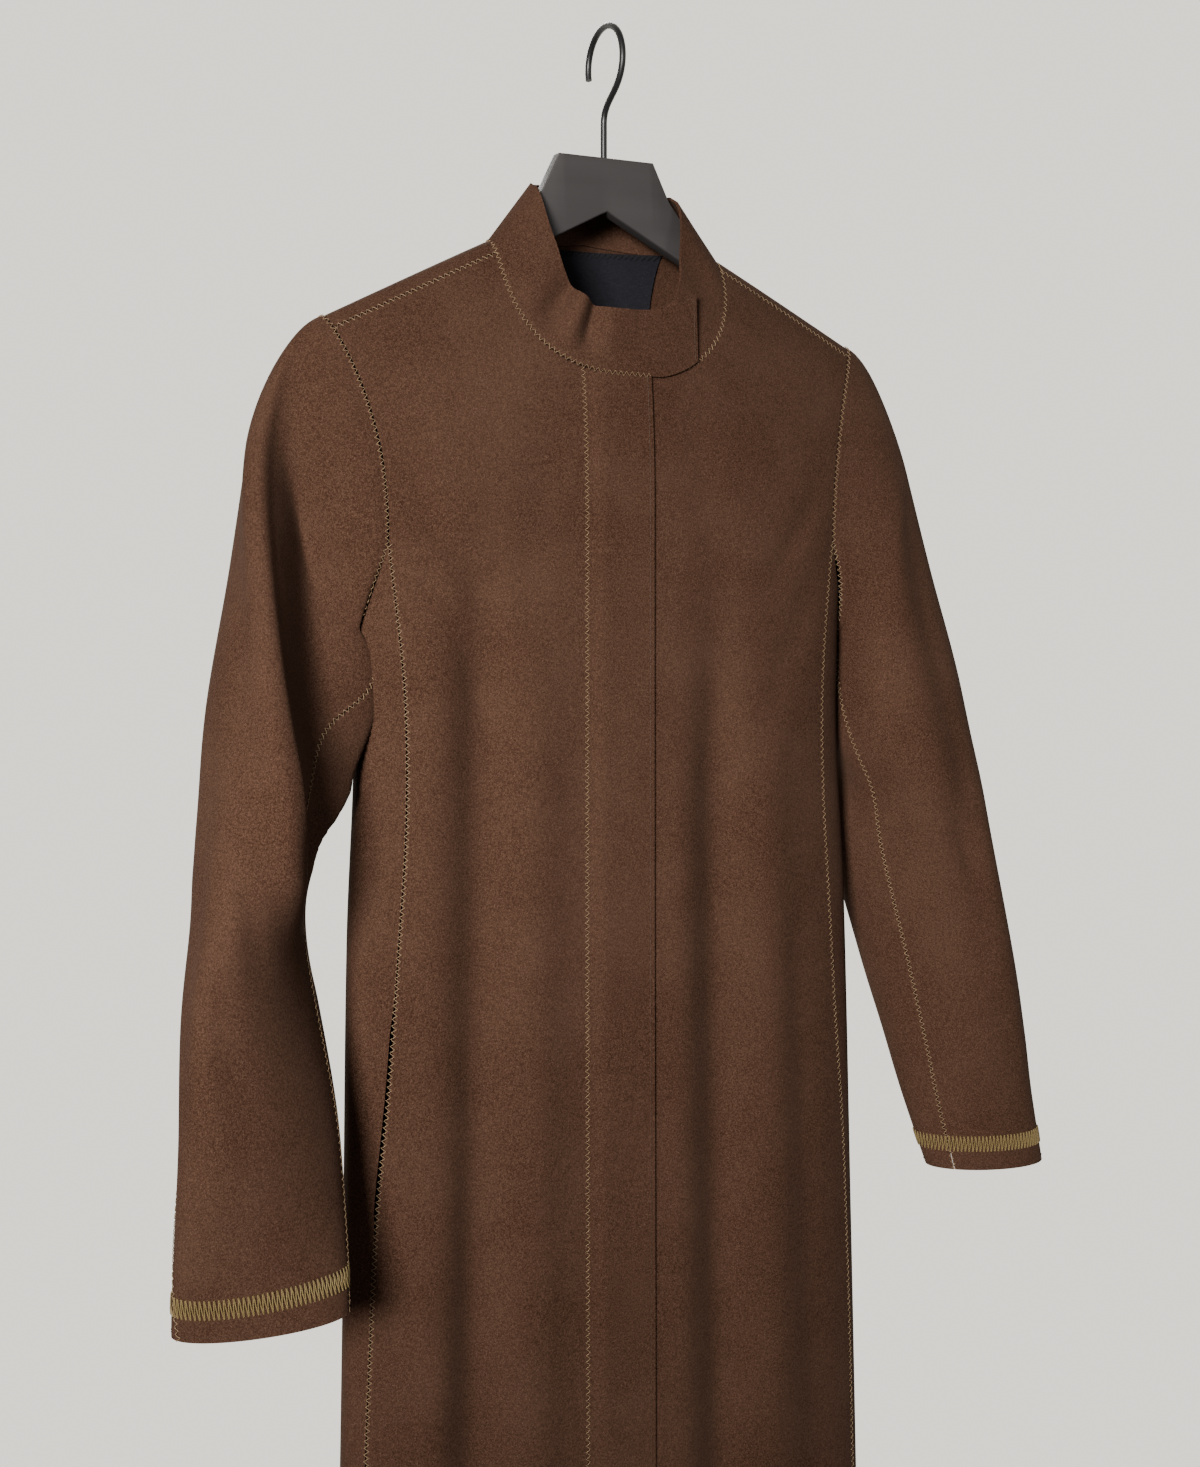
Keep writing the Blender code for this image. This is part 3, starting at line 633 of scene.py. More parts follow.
@dataclass(frozen=True)
class Felt:
    """Felted wool: a short dense nap of mixed brown fibres."""

    name: str = "felted_wool"
    dark: Colour = (0.0170, 0.0074, 0.0042)
    body: Colour = (0.0400, 0.0200, 0.0128)
    pale: Colour = (0.0860, 0.0500, 0.0340)
    clumps: float = 760.0
    fibres: float = 2100.0
    fibre_length: float = 0.6
    clouds: float = 14.0
    shade_limits: Range = (0.40, 0.60)
    fleck_limits: Range = (0.56, 0.74)
    fleck_share: float = 0.6
    cloud_limits: Range = (0.35, 0.75)
    cloud_share: float = 0.16
    rough: float = 0.88
    rough_limits: Range = (0.2, 0.8)
    rough_spread: float = 0.06
    nap: float = 0.45
    nap_depth: float = 0.0006
    specular: float = 0.03
    sheen: float = 0.02
    sheen_rough: float = 0.55
    sheen_tint: Colour = (0.62, 0.46, 0.36)

    def make(self) -> bpy.types.Material:
        """Makes the material.

        Returns:
            A matte wool with flecks, slow shade changes and a raised nap.
        """
        graph = Graph.material(self.name)
        clumps = graph.noise(self.clumps, detail=2)
        fibres = graph.noise(self.fibres, detail=2, stretch=(1.0, 1.0, self.fibre_length))
        clouds = graph.noise(self.clouds, detail=3)
        height = clumps * 0.5 + fibres * 0.5
        deep = graph.blend(graph.spread(height, self.shade_limits), self.dark, self.body)
        flecks = graph.spread(fibres, self.fleck_limits) * self.fleck_share
        flecked = graph.blend(flecks, deep, self.pale)
        clouded = graph.spread(clouds, self.cloud_limits) * self.cloud_share
        return graph.finish({
            "Base Color": graph.blend(clouded, flecked, self.pale),
            "Roughness": graph.spread(clouds, self.rough_limits) * self.rough_spread + self.rough,
            "Normal": graph.bump(height, self.nap, self.nap_depth),
            "Specular IOR Level": self.specular,
            "Sheen Weight": self.sheen,
            "Sheen Roughness": self.sheen_rough,
            "Sheen Tint": (*self.sheen_tint, 1.0),
        })


@dataclass(frozen=True)
class Weave:
    """Plain woven cloth for the label and the pocket bags."""

    name: str
    colour: Colour
    rough: float = 0.75
    rough_spread: float = 0.1
    ribs: float = 1700.0
    rib_length: float = 0.12
    rib_limits: Range = (0.35, 0.7)
    rib_pale: float = 1.9
    rib_relief: float = 0.3
    rib_depth: float = 0.0003
    specular: float = 0.08

    def make(self) -> bpy.types.Material:
        """Makes the material.

        Returns:
            A cloth with fine crossing ribs.
        """
        graph = Graph.material(self.name)
        warp = graph.noise(self.ribs, detail=1, stretch=(1.0, 1.0, self.rib_length))
        weft = graph.noise(self.ribs, detail=1, stretch=(self.rib_length, 1.0, 1.0))
        ribs = warp * 0.5 + weft * 0.5
        paler = tuple(self.rib_pale * value for value in self.colour)
        return graph.finish({
            "Base Color": graph.blend(graph.spread(ribs, self.rib_limits), self.colour, paler),
            "Roughness": ribs * self.rough_spread + self.rough,
            "Normal": graph.bump(ribs, self.rib_relief, self.rib_depth),
            "Specular IOR Level": self.specular,
        })


@dataclass(frozen=True)
class Thread:
    """Spun sewing thread."""

    name: str
    colour: Colour
    deep: Colour
    strands: float = 2600.0
    strand_limits: Range = (0.35, 0.65)
    strand_relief: float = 0.4
    strand_depth: float = 0.0002
    rough: float = 0.55
    rough_spread: float = 0.1
    specular: float = 0.15

    def make(self) -> bpy.types.Material:
        """Makes the material.

        Returns:
            A soft thread with darker strands.
        """
        graph = Graph.material(self.name)
        strands = graph.noise(self.strands, detail=2)
        return graph.finish({
            "Base Color": graph.blend(graph.spread(strands, self.strand_limits), self.deep, self.colour),
            "Roughness": strands * self.rough_spread + self.rough,
            "Normal": graph.bump(strands, self.strand_relief, self.strand_depth),
            "Specular IOR Level": self.specular,
        })


@dataclass(frozen=True)
class Lacquer:
    """Black satin lacquer, on wood with a faint grain or on wire."""

    name: str
    colour: Colour
    rough: float
    grain_relief: float
    grain: float = 90.0
    grain_length: float = 0.08
    grain_limits: Range = (0.3, 0.75)
    grain_share: float = 0.6
    grain_pale: float = 1.5
    grain_depth: float = 0.0004
    wear: float = 40.0
    wear_spread: float = 0.16
    specular: float = 0.35

    def make(self) -> bpy.types.Material:
        """Makes the material.

        Returns:
            A satin coat with slight wear in its gloss.
        """
        graph = Graph.material(self.name)
        grain = graph.noise(self.grain, detail=4, stretch=(self.grain_length, 1.0, 1.0))
        wear = graph.noise(self.wear, detail=3)
        paler = tuple(self.grain_pale * value for value in self.colour)
        streaks = graph.spread(grain, self.grain_limits) * self.grain_share
        return graph.finish({
            "Base Color": graph.blend(streaks, self.colour, paler),
            "Roughness": wear * self.wear_spread + self.rough,
            "Normal": graph.bump(grain, self.grain_relief, self.grain_depth),
            "Specular IOR Level": self.specular,
        })


@dataclass(frozen=True)
class Plaster:
    """The pale floor."""

    name: str = "pale_floor"
    colour: Colour = (0.62, 0.60, 0.58)
    dim_share: float = 0.94
    clouds: float = 3.0
    rough: float = 0.75
    rough_spread: float = 0.1

    def make(self) -> bpy.types.Material:
        """Makes the material.

        Returns:
            A matte pale floor with a slight unevenness.
        """
        graph = Graph.material(self.name)
        clouds = graph.noise(self.clouds, detail=3)
        dim = tuple(self.dim_share * value for value in self.colour)
        return graph.finish({
            "Base Color": graph.blend(clouds, dim, self.colour),
            "Roughness": clouds * self.rough_spread + self.rough,
        })


WOOL = Felt()
POCKET_CLOTH = Weave("pocket_weave", colour=(0.0120, 0.0060, 0.0036))
LABEL_CLOTH = Weave("label_weave", colour=(0.0060, 0.0060, 0.0080), rough=0.70)
SEAM_THREAD = Thread("seam_thread", colour=(0.190, 0.130, 0.076), deep=(0.090, 0.058, 0.032))
CUFF_THREAD = Thread("cuff_thread", colour=(0.150, 0.108, 0.044), deep=(0.060, 0.042, 0.016))
MATCHING_THREAD = Thread("matching_thread", colour=(0.046, 0.024, 0.015), deep=(0.020, 0.010, 0.006))
LABEL_THREAD = Thread("label_thread", colour=(0.0030, 0.0030, 0.0036), deep=(0.0012, 0.0012, 0.0014))
BLACK_WOOD = Lacquer("black_wood", colour=(0.0200, 0.0180, 0.0181), rough=0.50, grain_relief=0.10)
BLACK_WIRE = Lacquer("black_wire", colour=(0.0060, 0.0060, 0.0064), rough=0.32, grain_relief=0.02)


@dataclass(frozen=True)
class Stuff:
    """A cloth that pieces are cut from: how thick it is, its finish and its slot."""

    wall: float
    material: bpy.types.Material
    slot: Slot


@dataclass(frozen=True)
class Finishes:
    """Every cloth and material of the coat and its hanger."""

    wool: Stuff
    pocket: Stuff
    label: Stuff
    seam_thread: bpy.types.Material
    cuff_thread: bpy.types.Material
    matching_thread: bpy.types.Material
    label_thread: bpy.types.Material
    wood: bpy.types.Material
    wire: bpy.types.Material

    @classmethod
    def make(cls) -> Finishes:
        """Makes them all.

        Returns:
            The cloths and materials.
        """
        return cls(
            wool=Stuff(WALL, WOOL.make(), Slot.WOOL),
            pocket=Stuff(POCKET_WALL, POCKET_CLOTH.make(), Slot.POCKET),
            label=Stuff(LABEL_WALL, LABEL_CLOTH.make(), Slot.LABEL),
            seam_thread=SEAM_THREAD.make(),
            cuff_thread=CUFF_THREAD.make(),
            matching_thread=MATCHING_THREAD.make(),
            label_thread=LABEL_THREAD.make(),
            wood=BLACK_WOOD.make(),
            wire=BLACK_WIRE.make(),
        )


# Meshes


def add_mesh(name: str, points: Array, faces: Any, material: bpy.types.Material) -> bpy.types.Object:
    """Adds a smooth mesh to the scene.

    Args:
        name: the piece's name.
        points: its points.
        faces: its faces, as lists of point numbers.
        material: its finish.

    Returns:
        The new object.
    """
    mesh = bpy.data.meshes.new(name)
    mesh.from_pydata(np.asarray(points, float).tolist(), [], [list(map(int, face)) for face in faces])
    mesh.shade_smooth()
    mesh.set_sharp_from_angle(angle=SHARP_EDGE)
    mesh.materials.append(material)
    made = bpy.data.objects.new(name, mesh)
    bpy.context.scene.collection.objects.link(made)
    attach(made, "root")
    log.info("%s: %d points", name, len(points))
    return made


class Path(NamedTuple):
    """A line on cloth: its points and the cloth's outward normals there."""

    points: Array
    normals: Array

    def resampled(self, spacing: float) -> Path:
        """The same line with points at even distances.

        Args:
            spacing: distance between points.

        Returns:
            The new path.
        """
        lengths = np.linalg.norm(np.diff(self.points, axis=0), axis=1)
        run = np.concatenate([[0.0], np.cumsum(lengths)])
        count = max(2, int(run[-1] / spacing) + 1)
        at = np.linspace(0.0, run[-1], count)
        points = np.stack([np.interp(at, run, self.points[:, i]) for i in range(3)], axis=1)
        normals = np.stack([np.interp(at, run, self.normals[:, i]) for i in range(3)], axis=1)
        return Path(points, normals / np.linalg.norm(normals, axis=1, keepdims=True))

    def sideways(self) -> Array:
        """Unit vectors along the cloth, square to the line."""
        beside = np.cross(self.normals, np.gradient(self.points, axis=0))
        return beside / np.maximum(np.linalg.norm(beside, axis=1, keepdims=True), TINY)


class Cloth:
    """A cloth piece's middle surface as a fine grid of points."""

    def __init__(self, points: Array, outward: int, normals: Array | None = None) -> None:
        """Keeps the grid.

        Args:
            points: rows by columns of points.
            outward: 1 or -1, which way the grid's own normals are turned to face out.
            normals: ready outward normals, where the grid's own don't serve.
        """
        self.points = points
        self.outward = outward
        self.normals = outward * normals_of(points) if normals is None else normals

    def moved(self, distance: float) -> Cloth:
        """The same grid moved out along its normals."""
        return Cloth(self.points + distance * self.normals, self.outward, self.normals)

    def part(self, rows: slice, cols: slice) -> Cloth:
        """A part of the grid."""
        return Cloth(self.points[rows, cols], self.outward, self.normals[rows, cols])

    def line(self, rows: Array, cols: Array, lift: float) -> Path:
        """A path over the grid.

        Args:
            rows: row numbers of its points, which may lie between rows.
            cols: column numbers of its points, likewise.
            lift: height over the middle surface.

        Returns:
            The path.
        """
        rows, cols = np.broadcast_arrays(np.asarray(rows, float), np.asarray(cols, float))
        r = np.clip(np.floor(rows).astype(int), 0, self.points.shape[0] - 2)
        c = np.clip(np.floor(cols).astype(int), 0, self.points.shape[1] - 2)
        fr, fc = (rows - r)[:, None], (cols - c)[:, None]

        def read(grid: Array) -> Array:
            """The grid's values at the path's places."""
            upper = grid[r, c] * (1 - fc) + grid[r, c + 1] * fc
            return upper * (1 - fr) + (grid[r + 1, c] * (1 - fc) + grid[r + 1, c + 1] * fc) * fr

        normals = read(self.normals)
        normals = normals / np.linalg.norm(normals, axis=1, keepdims=True)
        return Path(read(self.points) + lift * normals, normals)

    def wall(self, name: str, thickness: float, material: bpy.types.Material) -> bpy.types.Object:
        """Builds the piece as a closed wall with soft raw edges.

        Args:
            name: the piece's name.
            thickness: the cloth's thickness.
            material: its finish.

        Returns:
            The new object.
        """
        rows, cols = self.points.shape[:2]
        half = self.normals * thickness / 2
        layers = np.concatenate([(self.points + half).reshape(-1, 3), (self.points - half).reshape(-1, 3)])
        number = np.arange(rows * cols).reshape(rows, cols)
        quads = np.stack([number[:-1, :-1], number[:-1, 1:], number[1:, 1:], number[1:, :-1]], axis=-1)
        front = quads.reshape(-1, 4)
        if self.outward < 0:
            front = front[:, ::-1]
        back = front[:, ::-1] + rows * cols
        rim = np.concatenate([number[0], number[1:, -1], number[-1, -2::-1], number[-2:0:-1, 0]])
        after = np.roll(rim, -1)
        edge = np.stack([after, rim, rim + rows * cols, after + rows * cols], axis=1)
        if self.outward < 0:
            edge = edge[:, ::-1]
        return add_mesh(name, layers, np.concatenate([front, back, edge]), material)


@dataclass(frozen=True)
class Stitch:
    """Sizes of a line of sewing; seat is how far the thread stands off the cloth, in radii."""

    width: float
    period: float
    radius: float
    sides: int = 6
    arch: float = 0.0004
    seat: float = 0.6

    @property
    def lift(self) -> float:
        """Height of the thread's middle over the wool's middle surface."""
        return WALL / 2 + self.radius * self.seat


SEAM_ZIGZAG = Stitch(width=0.0031, period=0.0042, radius=0.00025)
STRAIGHT = Stitch(width=0.0, period=0.0052, radius=0.00024, arch=0.00025, seat=0.0)

# The points of one stitch: how far each swings to the side, and how many arches it rises.
ZIGZAG_SWING = np.array([1.0, 0.0, -1.0, 0.0])
STRAIGHT_RISE = np.array([-1.6, 0.7, 1.0, 0.7])

# A thread that runs nearer to the first axis than this starts its rings from the second axis.
NEARLY_ALONG = 0.8


def tube_faces(rings: int, sides: int) -> list[list[int]]:
    """Faces of a closed tube.

    Args:
        rings: how many rings of points it has.
        sides: points in each ring.

    Returns:
        Its sides and its two ends, as lists of point numbers.
    """
    faces = []
    for ring in range(rings - 1):
        low, high = ring * sides, (ring + 1) * sides
        for side in range(sides):
            after = (side + 1) % sides
            faces.append([low + side, low + after, high + after, high + side])
    faces.append(list(range(sides))[::-1])
    faces.append([(rings - 1) * sides + side for side in range(sides)])
    return faces


def tube(points: Array, radius: float, sides: int) -> tuple[Array, list[list[int]]]:
    """A round tube along points.

    Args:
        points: the tube's centre line.
        radius: its radius.
        sides: points in each ring.

    Returns:
        The tube's points and faces, with closed ends.
    """
    ahead = np.gradient(points, axis=0)
    ahead = ahead / np.maximum(np.linalg.norm(ahead, axis=1, keepdims=True), TINY)
    rough = np.where(np.abs(ahead[:, :1]) < NEARLY_ALONG, [[1.0, 0.0, 0.0]], [[0.0, 1.0, 0.0]])
    first = np.cross(ahead, rough)
    first = first / np.linalg.norm(first, axis=1, keepdims=True)
    second = np.cross(ahead, first)
    turns = np.linspace(0.0, 2 * math.pi, sides, endpoint=False)
    rings = points[:, None] + radius * (
        np.cos(turns)[None, :, None] * first[:, None] + np.sin(turns)[None, :, None] * second[:, None]
    )
    return rings.reshape(-1, 3), tube_faces(len(points), sides)


class Sewing:
    """Threads that are joined into one piece."""

    def __init__(self, name: str, material: bpy.types.Material) -> None:
        """Starts an empty piece of sewing.

        Args:
            name: the piece's name.
            material: the thread's finish.
        """
        self.name = name
        self.material = material
        self.points: list[Array] = []
        self.faces: list[list[int]] = []
        self.count = 0

    def thread(self, points: Array, stitch: Stitch) -> None:
        """Adds one thread.

        Args:
            points: the thread's centre line.
            stitch: its sizes.
        """
        rings, faces = tube(points, stitch.radius, stitch.sides)
        self.faces += [[self.count + corner for corner in face] for face in faces]
        self.points.append(rings)
        self.count += len(rings)

    def zigzag(self, path: Path, stitch: Stitch) -> None:
        """Lays a zigzag along a path.

        Args:
            path: the seam.
            stitch: the zigzag's sizes.
        """
        line = path.resampled(stitch.period / len(ZIGZAG_SWING))
        swing = np.resize(ZIGZAG_SWING, len(line.points))
        high = stitch.arch * (1 - np.abs(swing))
        beside = line.sideways() * (swing * stitch.width / 2)[:, None]
        self.thread(line.points + beside + line.normals * high[:, None], stitch)

    def straight(self, path: Path, stitch: Stitch) -> None:
        """Lays straight stitches that dip into the cloth between them.

        Args:
            path: the line of stitching.
            stitch: the stitches' sizes.
        """
        line = path.resampled(stitch.period / len(STRAIGHT_RISE))
        high = np.resize(STRAIGHT_RISE, len(line.points)) * stitch.arch
        self.thread(line.points + line.normals * high[:, None], stitch)

    def made(self, slot: Slot) -> bpy.types.Object:
        """Builds the piece.

        Args:
            slot: the material slot that it goes with; not used.

        Returns:
            The new object.
        """
        piece = add_mesh(self.name, np.concatenate(self.points), self.faces, self.material)
        return piece


# The coat's form


@dataclass(frozen=True)
class CoatForm:
    """The coat's surfaces, worked out from its sizes."""

    ridge: float = 0.1204
    ridge_slope: float = 0.5085
    ridge_round: float = 0.03
    front_reach: float = 0.14
    back_reach: float = 0.09
    seam_drop: float = 0.009
    middle_reach: float = 0.20
    lens_power: float = 4.0
    hem: float = 1.24
    fold_fade: float = 0.16
    neck_half: float = 0.0862
    neck_side: float = 0.1516
    neck_front: float = 0.239
    neck_back_rise: float = 0.0085
    neck_power: float = 2.5
    tip_across: float = 0.200
    tip_down: float = 0.208
    join_across: float = 0.168
    join_down: float = 0.35
    underarm: float = 0.41
    armhole_power: float = 2.2
    underarm_fade: float = 0.25
    underarm_lap_rate: float = 7.0
    armhole_gap: float = 0.0014
    slit_from: float = 0.63
    slit_to: float = 0.79
    slit_gap: float = 0.0015
    slit_fade: float = 0.03
    slope_fade: float = 0.2
    outer_limits: Range = (0.10, 0.24)

    def ridge_down(self, across: Any) -> Array:
        """Level of the shoulder ridge."""
        run = np.sqrt(np.square(across) + self.ridge_round**2) - self.ridge_round
        return self.ridge + self.ridge_slope * run

    def section(self, down: Any, name: str) -> Array:
        """One size of the body's section at a level."""
        return smooth(down, column(SECTIONS, "down"), column(SECTIONS, name))

    def lens(self, across: Any, down: Any) -> Array:
        """Share of the body's depth that is left at a place across."""
        share = np.abs(across) / self.section(down, "half_width")
        return np.sqrt(np.clip(1 - share**self.lens_power, 0.0, 1.0))

    def middle(self, across: Any, down: Any) -> Array:
        """Where the body's widest line lies."""
        return self.section(down, "middle") * ease((down - self.ridge_down(across)) / self.middle_reach)

    def roll(self, across: Any, down: Any, reach: float) -> Array:
        """Share of the body's full depth below the shoulder ridge."""
        drop = np.clip((down - self.ridge_down(across)) / reach, 0.0, 1.0)
        return np.sqrt(1 - (1 - drop) ** 2)

    def relief(self, folds: Sequence[Fold], creases: Sequence[Crease], across: Any, down: Any) -> Array:
        """Height of a panel's folds and creases.

        Args:
            folds: the vertical folds.
            creases: the finer creases.
            across: places across.
            down: levels.

        Returns:
            Heights over the plain panel.
        """
        relief = crease_relief(creases, np.asarray(across, float), np.asarray(down, float))
        for fold in folds:
            along = (down - fold.start) / (self.hem - fold.start)
            off = (across - fold.across - fold.sway * along) / fold.half_width
            relief = relief + fold.depth * np.exp(-(off**2)) * ease((down - fold.start) / self.fold_fade)
        return relief

    def front(self, across: Any, down: Any) -> Array:
        """The body's front surface.

        Args:
            across: places across.
            down: levels.

        Returns:
            How far forward it lies there.
        """
        full = self.section(down, "front_depth") * self.roll(across, down, self.front_reach)
        lift = self.relief(FRONT_FOLDS, FRONT_CREASES, across, down)
        return self.middle(across, down) + full * self.lens(across, down) + lift

    def back(self, across: Any, down: Any) -> Array:
        """The body's back surface.

        Args:
            across: places across.
            down: levels.

        Returns:
            How far forward it lies there.
        """
        full = self.section(down, "back_depth") * self.roll(across, down, self.back_reach)
        lift = self.relief(BACK_FOLDS, BACK_CREASES, across, down)
        return self.middle(across, down) - full * self.lens(across, down) - lift

    def neck_down(self, across: Any) -> Array:
        """The front neck seam's level.

        Args:
            across: places across.

        Returns:
            Its level there.
        """
        share = np.clip(np.abs(across) / self.neck_half, 0.0, 1.0)
        fall = (1 - share**self.neck_power) ** (1 / self.neck_power)
        return self.neck_side + (self.neck_front - self.neck_side) * fall

    def neck_across(self, angle: float) -> float:
        """The front neck seam's place across, from the ridge at 0 to centre front at 90 degrees."""
        return self.neck_half * max(0.0, math.cos(math.radians(angle))) ** (2 / self.neck_power)

    def back_neck(self, angle: float) -> tuple[float, float]:
        """The back neck seam (across, down), from the ridge at 0 to centre back at 90 degrees."""
        turn = math.radians(angle)
        return self.neck_half * math.cos(turn), self.neck_side - self.neck_back_rise * (1 - math.cos(turn))

    def neck_point(self, turn: float) -> tuple[float, float, float]:
        """A point of the neck seam.

        Args:
            turn: 0 at centre back, 90 at the shoulder ridge, 180 at centre front.

        Returns:
            Across, forward and down.
        """
        if turn <= 90:
            across, down = self.back_neck(90 - turn)
            level = max(down, float(self.ridge_down(across)))
            return across, float(self.back(across, level)), down
        across = self.neck_across(turn - 90)
        down = float(self.neck_down(across))
        return across, float(self.front(across, down)), down

    def edge(self, down: Any, seam: str) -> Array:
        """A panel's outer edge: the armhole, then the front or back seam.

        Args:
            down: levels.
            seam: which seam it is, front or back.

        Returns:
            The edge's place across.
        """
        share = np.clip((self.join_down - down) / (self.join_down - self.tip_down), 0.0, None)
        hole = self.join_across + (self.tip_across - self.join_across) * share**self.armhole_power
        below = smooth(down, column(SEAMS, "down"), column(SEAMS, seam))
        return np.where(down < self.join_down, hole, below)

    def side(self, share: float, level: float, front_gap: float) -> tuple[float, float, float]:
        """A point of the side panel's surface.

        Args:
            share: 0 at the front seam, 1 at the back seam.
            level: 0 at the armhole, 1 at the hem.
            front_gap: gap at the front seam.

        Returns:
            Across, forward and down.
        """
        edge = self.join_down + (self.hem - self.join_down) * level
        dip = (self.underarm - self.join_down) * max(0.0, 1 - level / self.underarm_fade) ** 2
        down = edge + dip * math.sin(math.pi * share)
        gap = front_gap + self.slit_gap * float(window(edge, self.slit_from, self.slit_to, self.slit_fade))
        ends = (float(self.edge(edge, "front")) + gap, float(self.edge(edge, "back")))
        start, end = (math.asin(float(self.lens(across, edge))) for across in ends)
        turn = start - (start + end) * share
        across = float(self.section(down, "half_width")) * math.cos(turn) ** (2 / self.lens_power)
        depth = float(self.section(down, "front_depth" if turn > 0 else "back_depth"))
        return across, float(self.middle(across, down)) + depth * math.sin(turn), down

    def armhole(self, angle: float) -> Array:
        """A point of the armhole seam.

        Args:
            angle: 0 at the shoulder tip, 90 in front, 180 under the arm.

        Returns:
            Across, forward and down.
        """
        turn = math.radians(angle)
        in_front = math.sin(turn) >= 0
        down = self.tip_down + (self.underarm - self.tip_down) / 2 * (1 - math.cos(turn))
        if down <= self.join_down:
            across = float(self.edge(down, "front"))
            surface = self.front if in_front else self.back
            return np.array([across + self.armhole_gap, float(surface(across, down)), down])
        dip = (down - self.join_down) / (self.underarm - self.join_down)
        share = math.asin(min(1.0, dip)) / math.pi
        point = np.array(self.side(share if in_front else 1 - share, 0.0, 0.0))
        out = LAP * float(ease(self.underarm_lap_rate * share))
        spread = math.pi / 4 * (1 - 2 * share)
        sideways = math.sin(spread) if in_front else -math.sin(spread)
        return point + np.array([self.armhole_gap + out * math.cos(spread), out * sideways, 0.0])

    def row_down(self, base: float, slope: float, across: Any) -> Array:
        """A row's level at a place across; slope is how much of the shoulder's slope it keeps."""
        return base + slope * (self.ridge_down(across) - self.ridge)

    def body_rows(self, reach: float, count: int) -> list[tuple[float, float]]:
        """Rows (base, slope) from the end of the shoulder's roll to the hem.

        Args:
            reach: drop of the shoulder's roll.
            count: how many spaces there are between rows.

        Returns:
            The rows, soon level.
        """
        start = self.ridge + reach
        shares = np.linspace(0.0, 1.0, count + 1)
        slopes = np.clip(1 - shares / self.slope_fade, 0.0, 1.0) ** 2
        return [(start + (self.hem - start) * g, k) for g, k in zip(shares, slopes)]

    def outer_end(self, base: float, slope: float, seam: str) -> float:
        """Where a row meets the armhole or the side seam.

        Args:
            base: the row's level at centre.
            slope: how much of the shoulder's slope it keeps.
            seam: which seam it is, front or back.

        Returns:
            The place across.
        """

        def past_edge(across: float) -> float:
            """How far a place on the row lies outside the edge."""
            return across - float(self.edge(self.row_down(base, slope, across), seam))

        return bisect(past_edge, *self.outer_limits)


@dataclass(frozen=True)
class Panel:
    """What every cloth piece of the coat needs to be built."""

    form: CoatForm
    finishes: Finishes

    def declare(
        self,
        cloth: Cloth,
        name: str,
        held: Held,
        rests_on: Sequence[str],
        sewing: Sequence[bpy.types.Object] = (),
        stuff: Stuff | None = None,
    ) -> None:
        """Builds a cloth piece and hides the model's part of that name.

        Args:
            cloth: the piece's surface.
            name: its name, which is also its node's.
            held: how it is held; not used.
            rests_on: what it hangs from or lies on; not used.
            sewing: the threads on it; not used.
            stuff: what it is cut from, where that isn't the wool.
        """
        stuff = stuff or self.finishes.wool
        piece = cloth.wall(f"{name}_cloth", stuff.wall, stuff.material)
        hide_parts(name)


@dataclass(frozen=True)
class Front(Panel):
    """A front, from its shoulder seam to the hem."""

    side: Side
    edge: float
    columns: int = 60
    neck_rows: int = 34
    first_neck_angle: float = 5.0
    body_rows: int = 150

    def cloth(self) -> Cloth:
        """The front's surface.

        Returns:
            A grid, shoulder seam to hem, front edge to armhole and princess seam.
        """
        form = self.form
        share = max(0.0, self.edge) / form.neck_half
        last = math.degrees(math.acos(share ** (form.neck_power / 2)))
        rows = [(form.ridge + form.seam_drop + SEAM_GAP, 1.0)]
        for angle in np.linspace(self.first_neck_angle, last, self.neck_rows):
            across = form.neck_across(angle)
            rows.append((form.ridge + float(form.neck_down(across) - form.ridge_down(across)), 1.0))
        rows += form.body_rows(form.front_reach, self.body_rows)
        grid = []
        for base, slope in rows:
            outer = form.outer_end(base, slope, "front") - SEAM_GAP
            across = np.linspace(self.inner_end(base, slope), outer, self.columns + 1)
            down = form.row_down(base, slope, across)
            sign = self.side.value
            grid.append(place(sign * across, form.front(sign * across, down), down))
        return Cloth(np.array(grid), -self.side.value)

    def inner_end(self, base: float, slope: float) -> float:
        """Where a row meets the neck seam, or the front edge below it.

        Args:
            base: the row's level at centre.
            slope: how much of the shoulder's slope it keeps.

        Returns:
            The place across.
        """
        form = self.form
        start = max(0.0, self.edge)
        if form.row_down(base, slope, start) > form.neck_front + SEAM_GAP:
            return self.edge

        def below_neck(across: float) -> float:
            """How far a place on the row lies below the neck seam."""
            return float(form.row_down(base, slope, across) - form.neck_down(across))

        return bisect(below_neck, start, form.neck_half)

    def build(self) -> Cloth:
        """Builds the front with its shoulder and princess seams' sewing.

        Returns:
            The front's surface.
        """
        cloth = self.cloth()
        cols = cloth.points.shape[1]
        sewing = Sewing(f"front_{self.side.word}_zigzag", self.finishes.seam_thread)
        sewing.zigzag(cloth.line(np.zeros(cols), np.arange(cols), SEAM_ZIGZAG.lift), SEAM_ZIGZAG)
        below = np.flatnonzero(-cloth.points[:, -1, 2] >= self.form.join_down)
        sewing.zigzag(cloth.line(below, np.full(len(below), cols - 1), SEAM_ZIGZAG.lift), SEAM_ZIGZAG)
        name = f"front_{self.side.word}"
        self.declare(cloth, name, Held.HUNG, ["hanger_board"], [sewing.made(Slot.WOOL)])
        return cloth


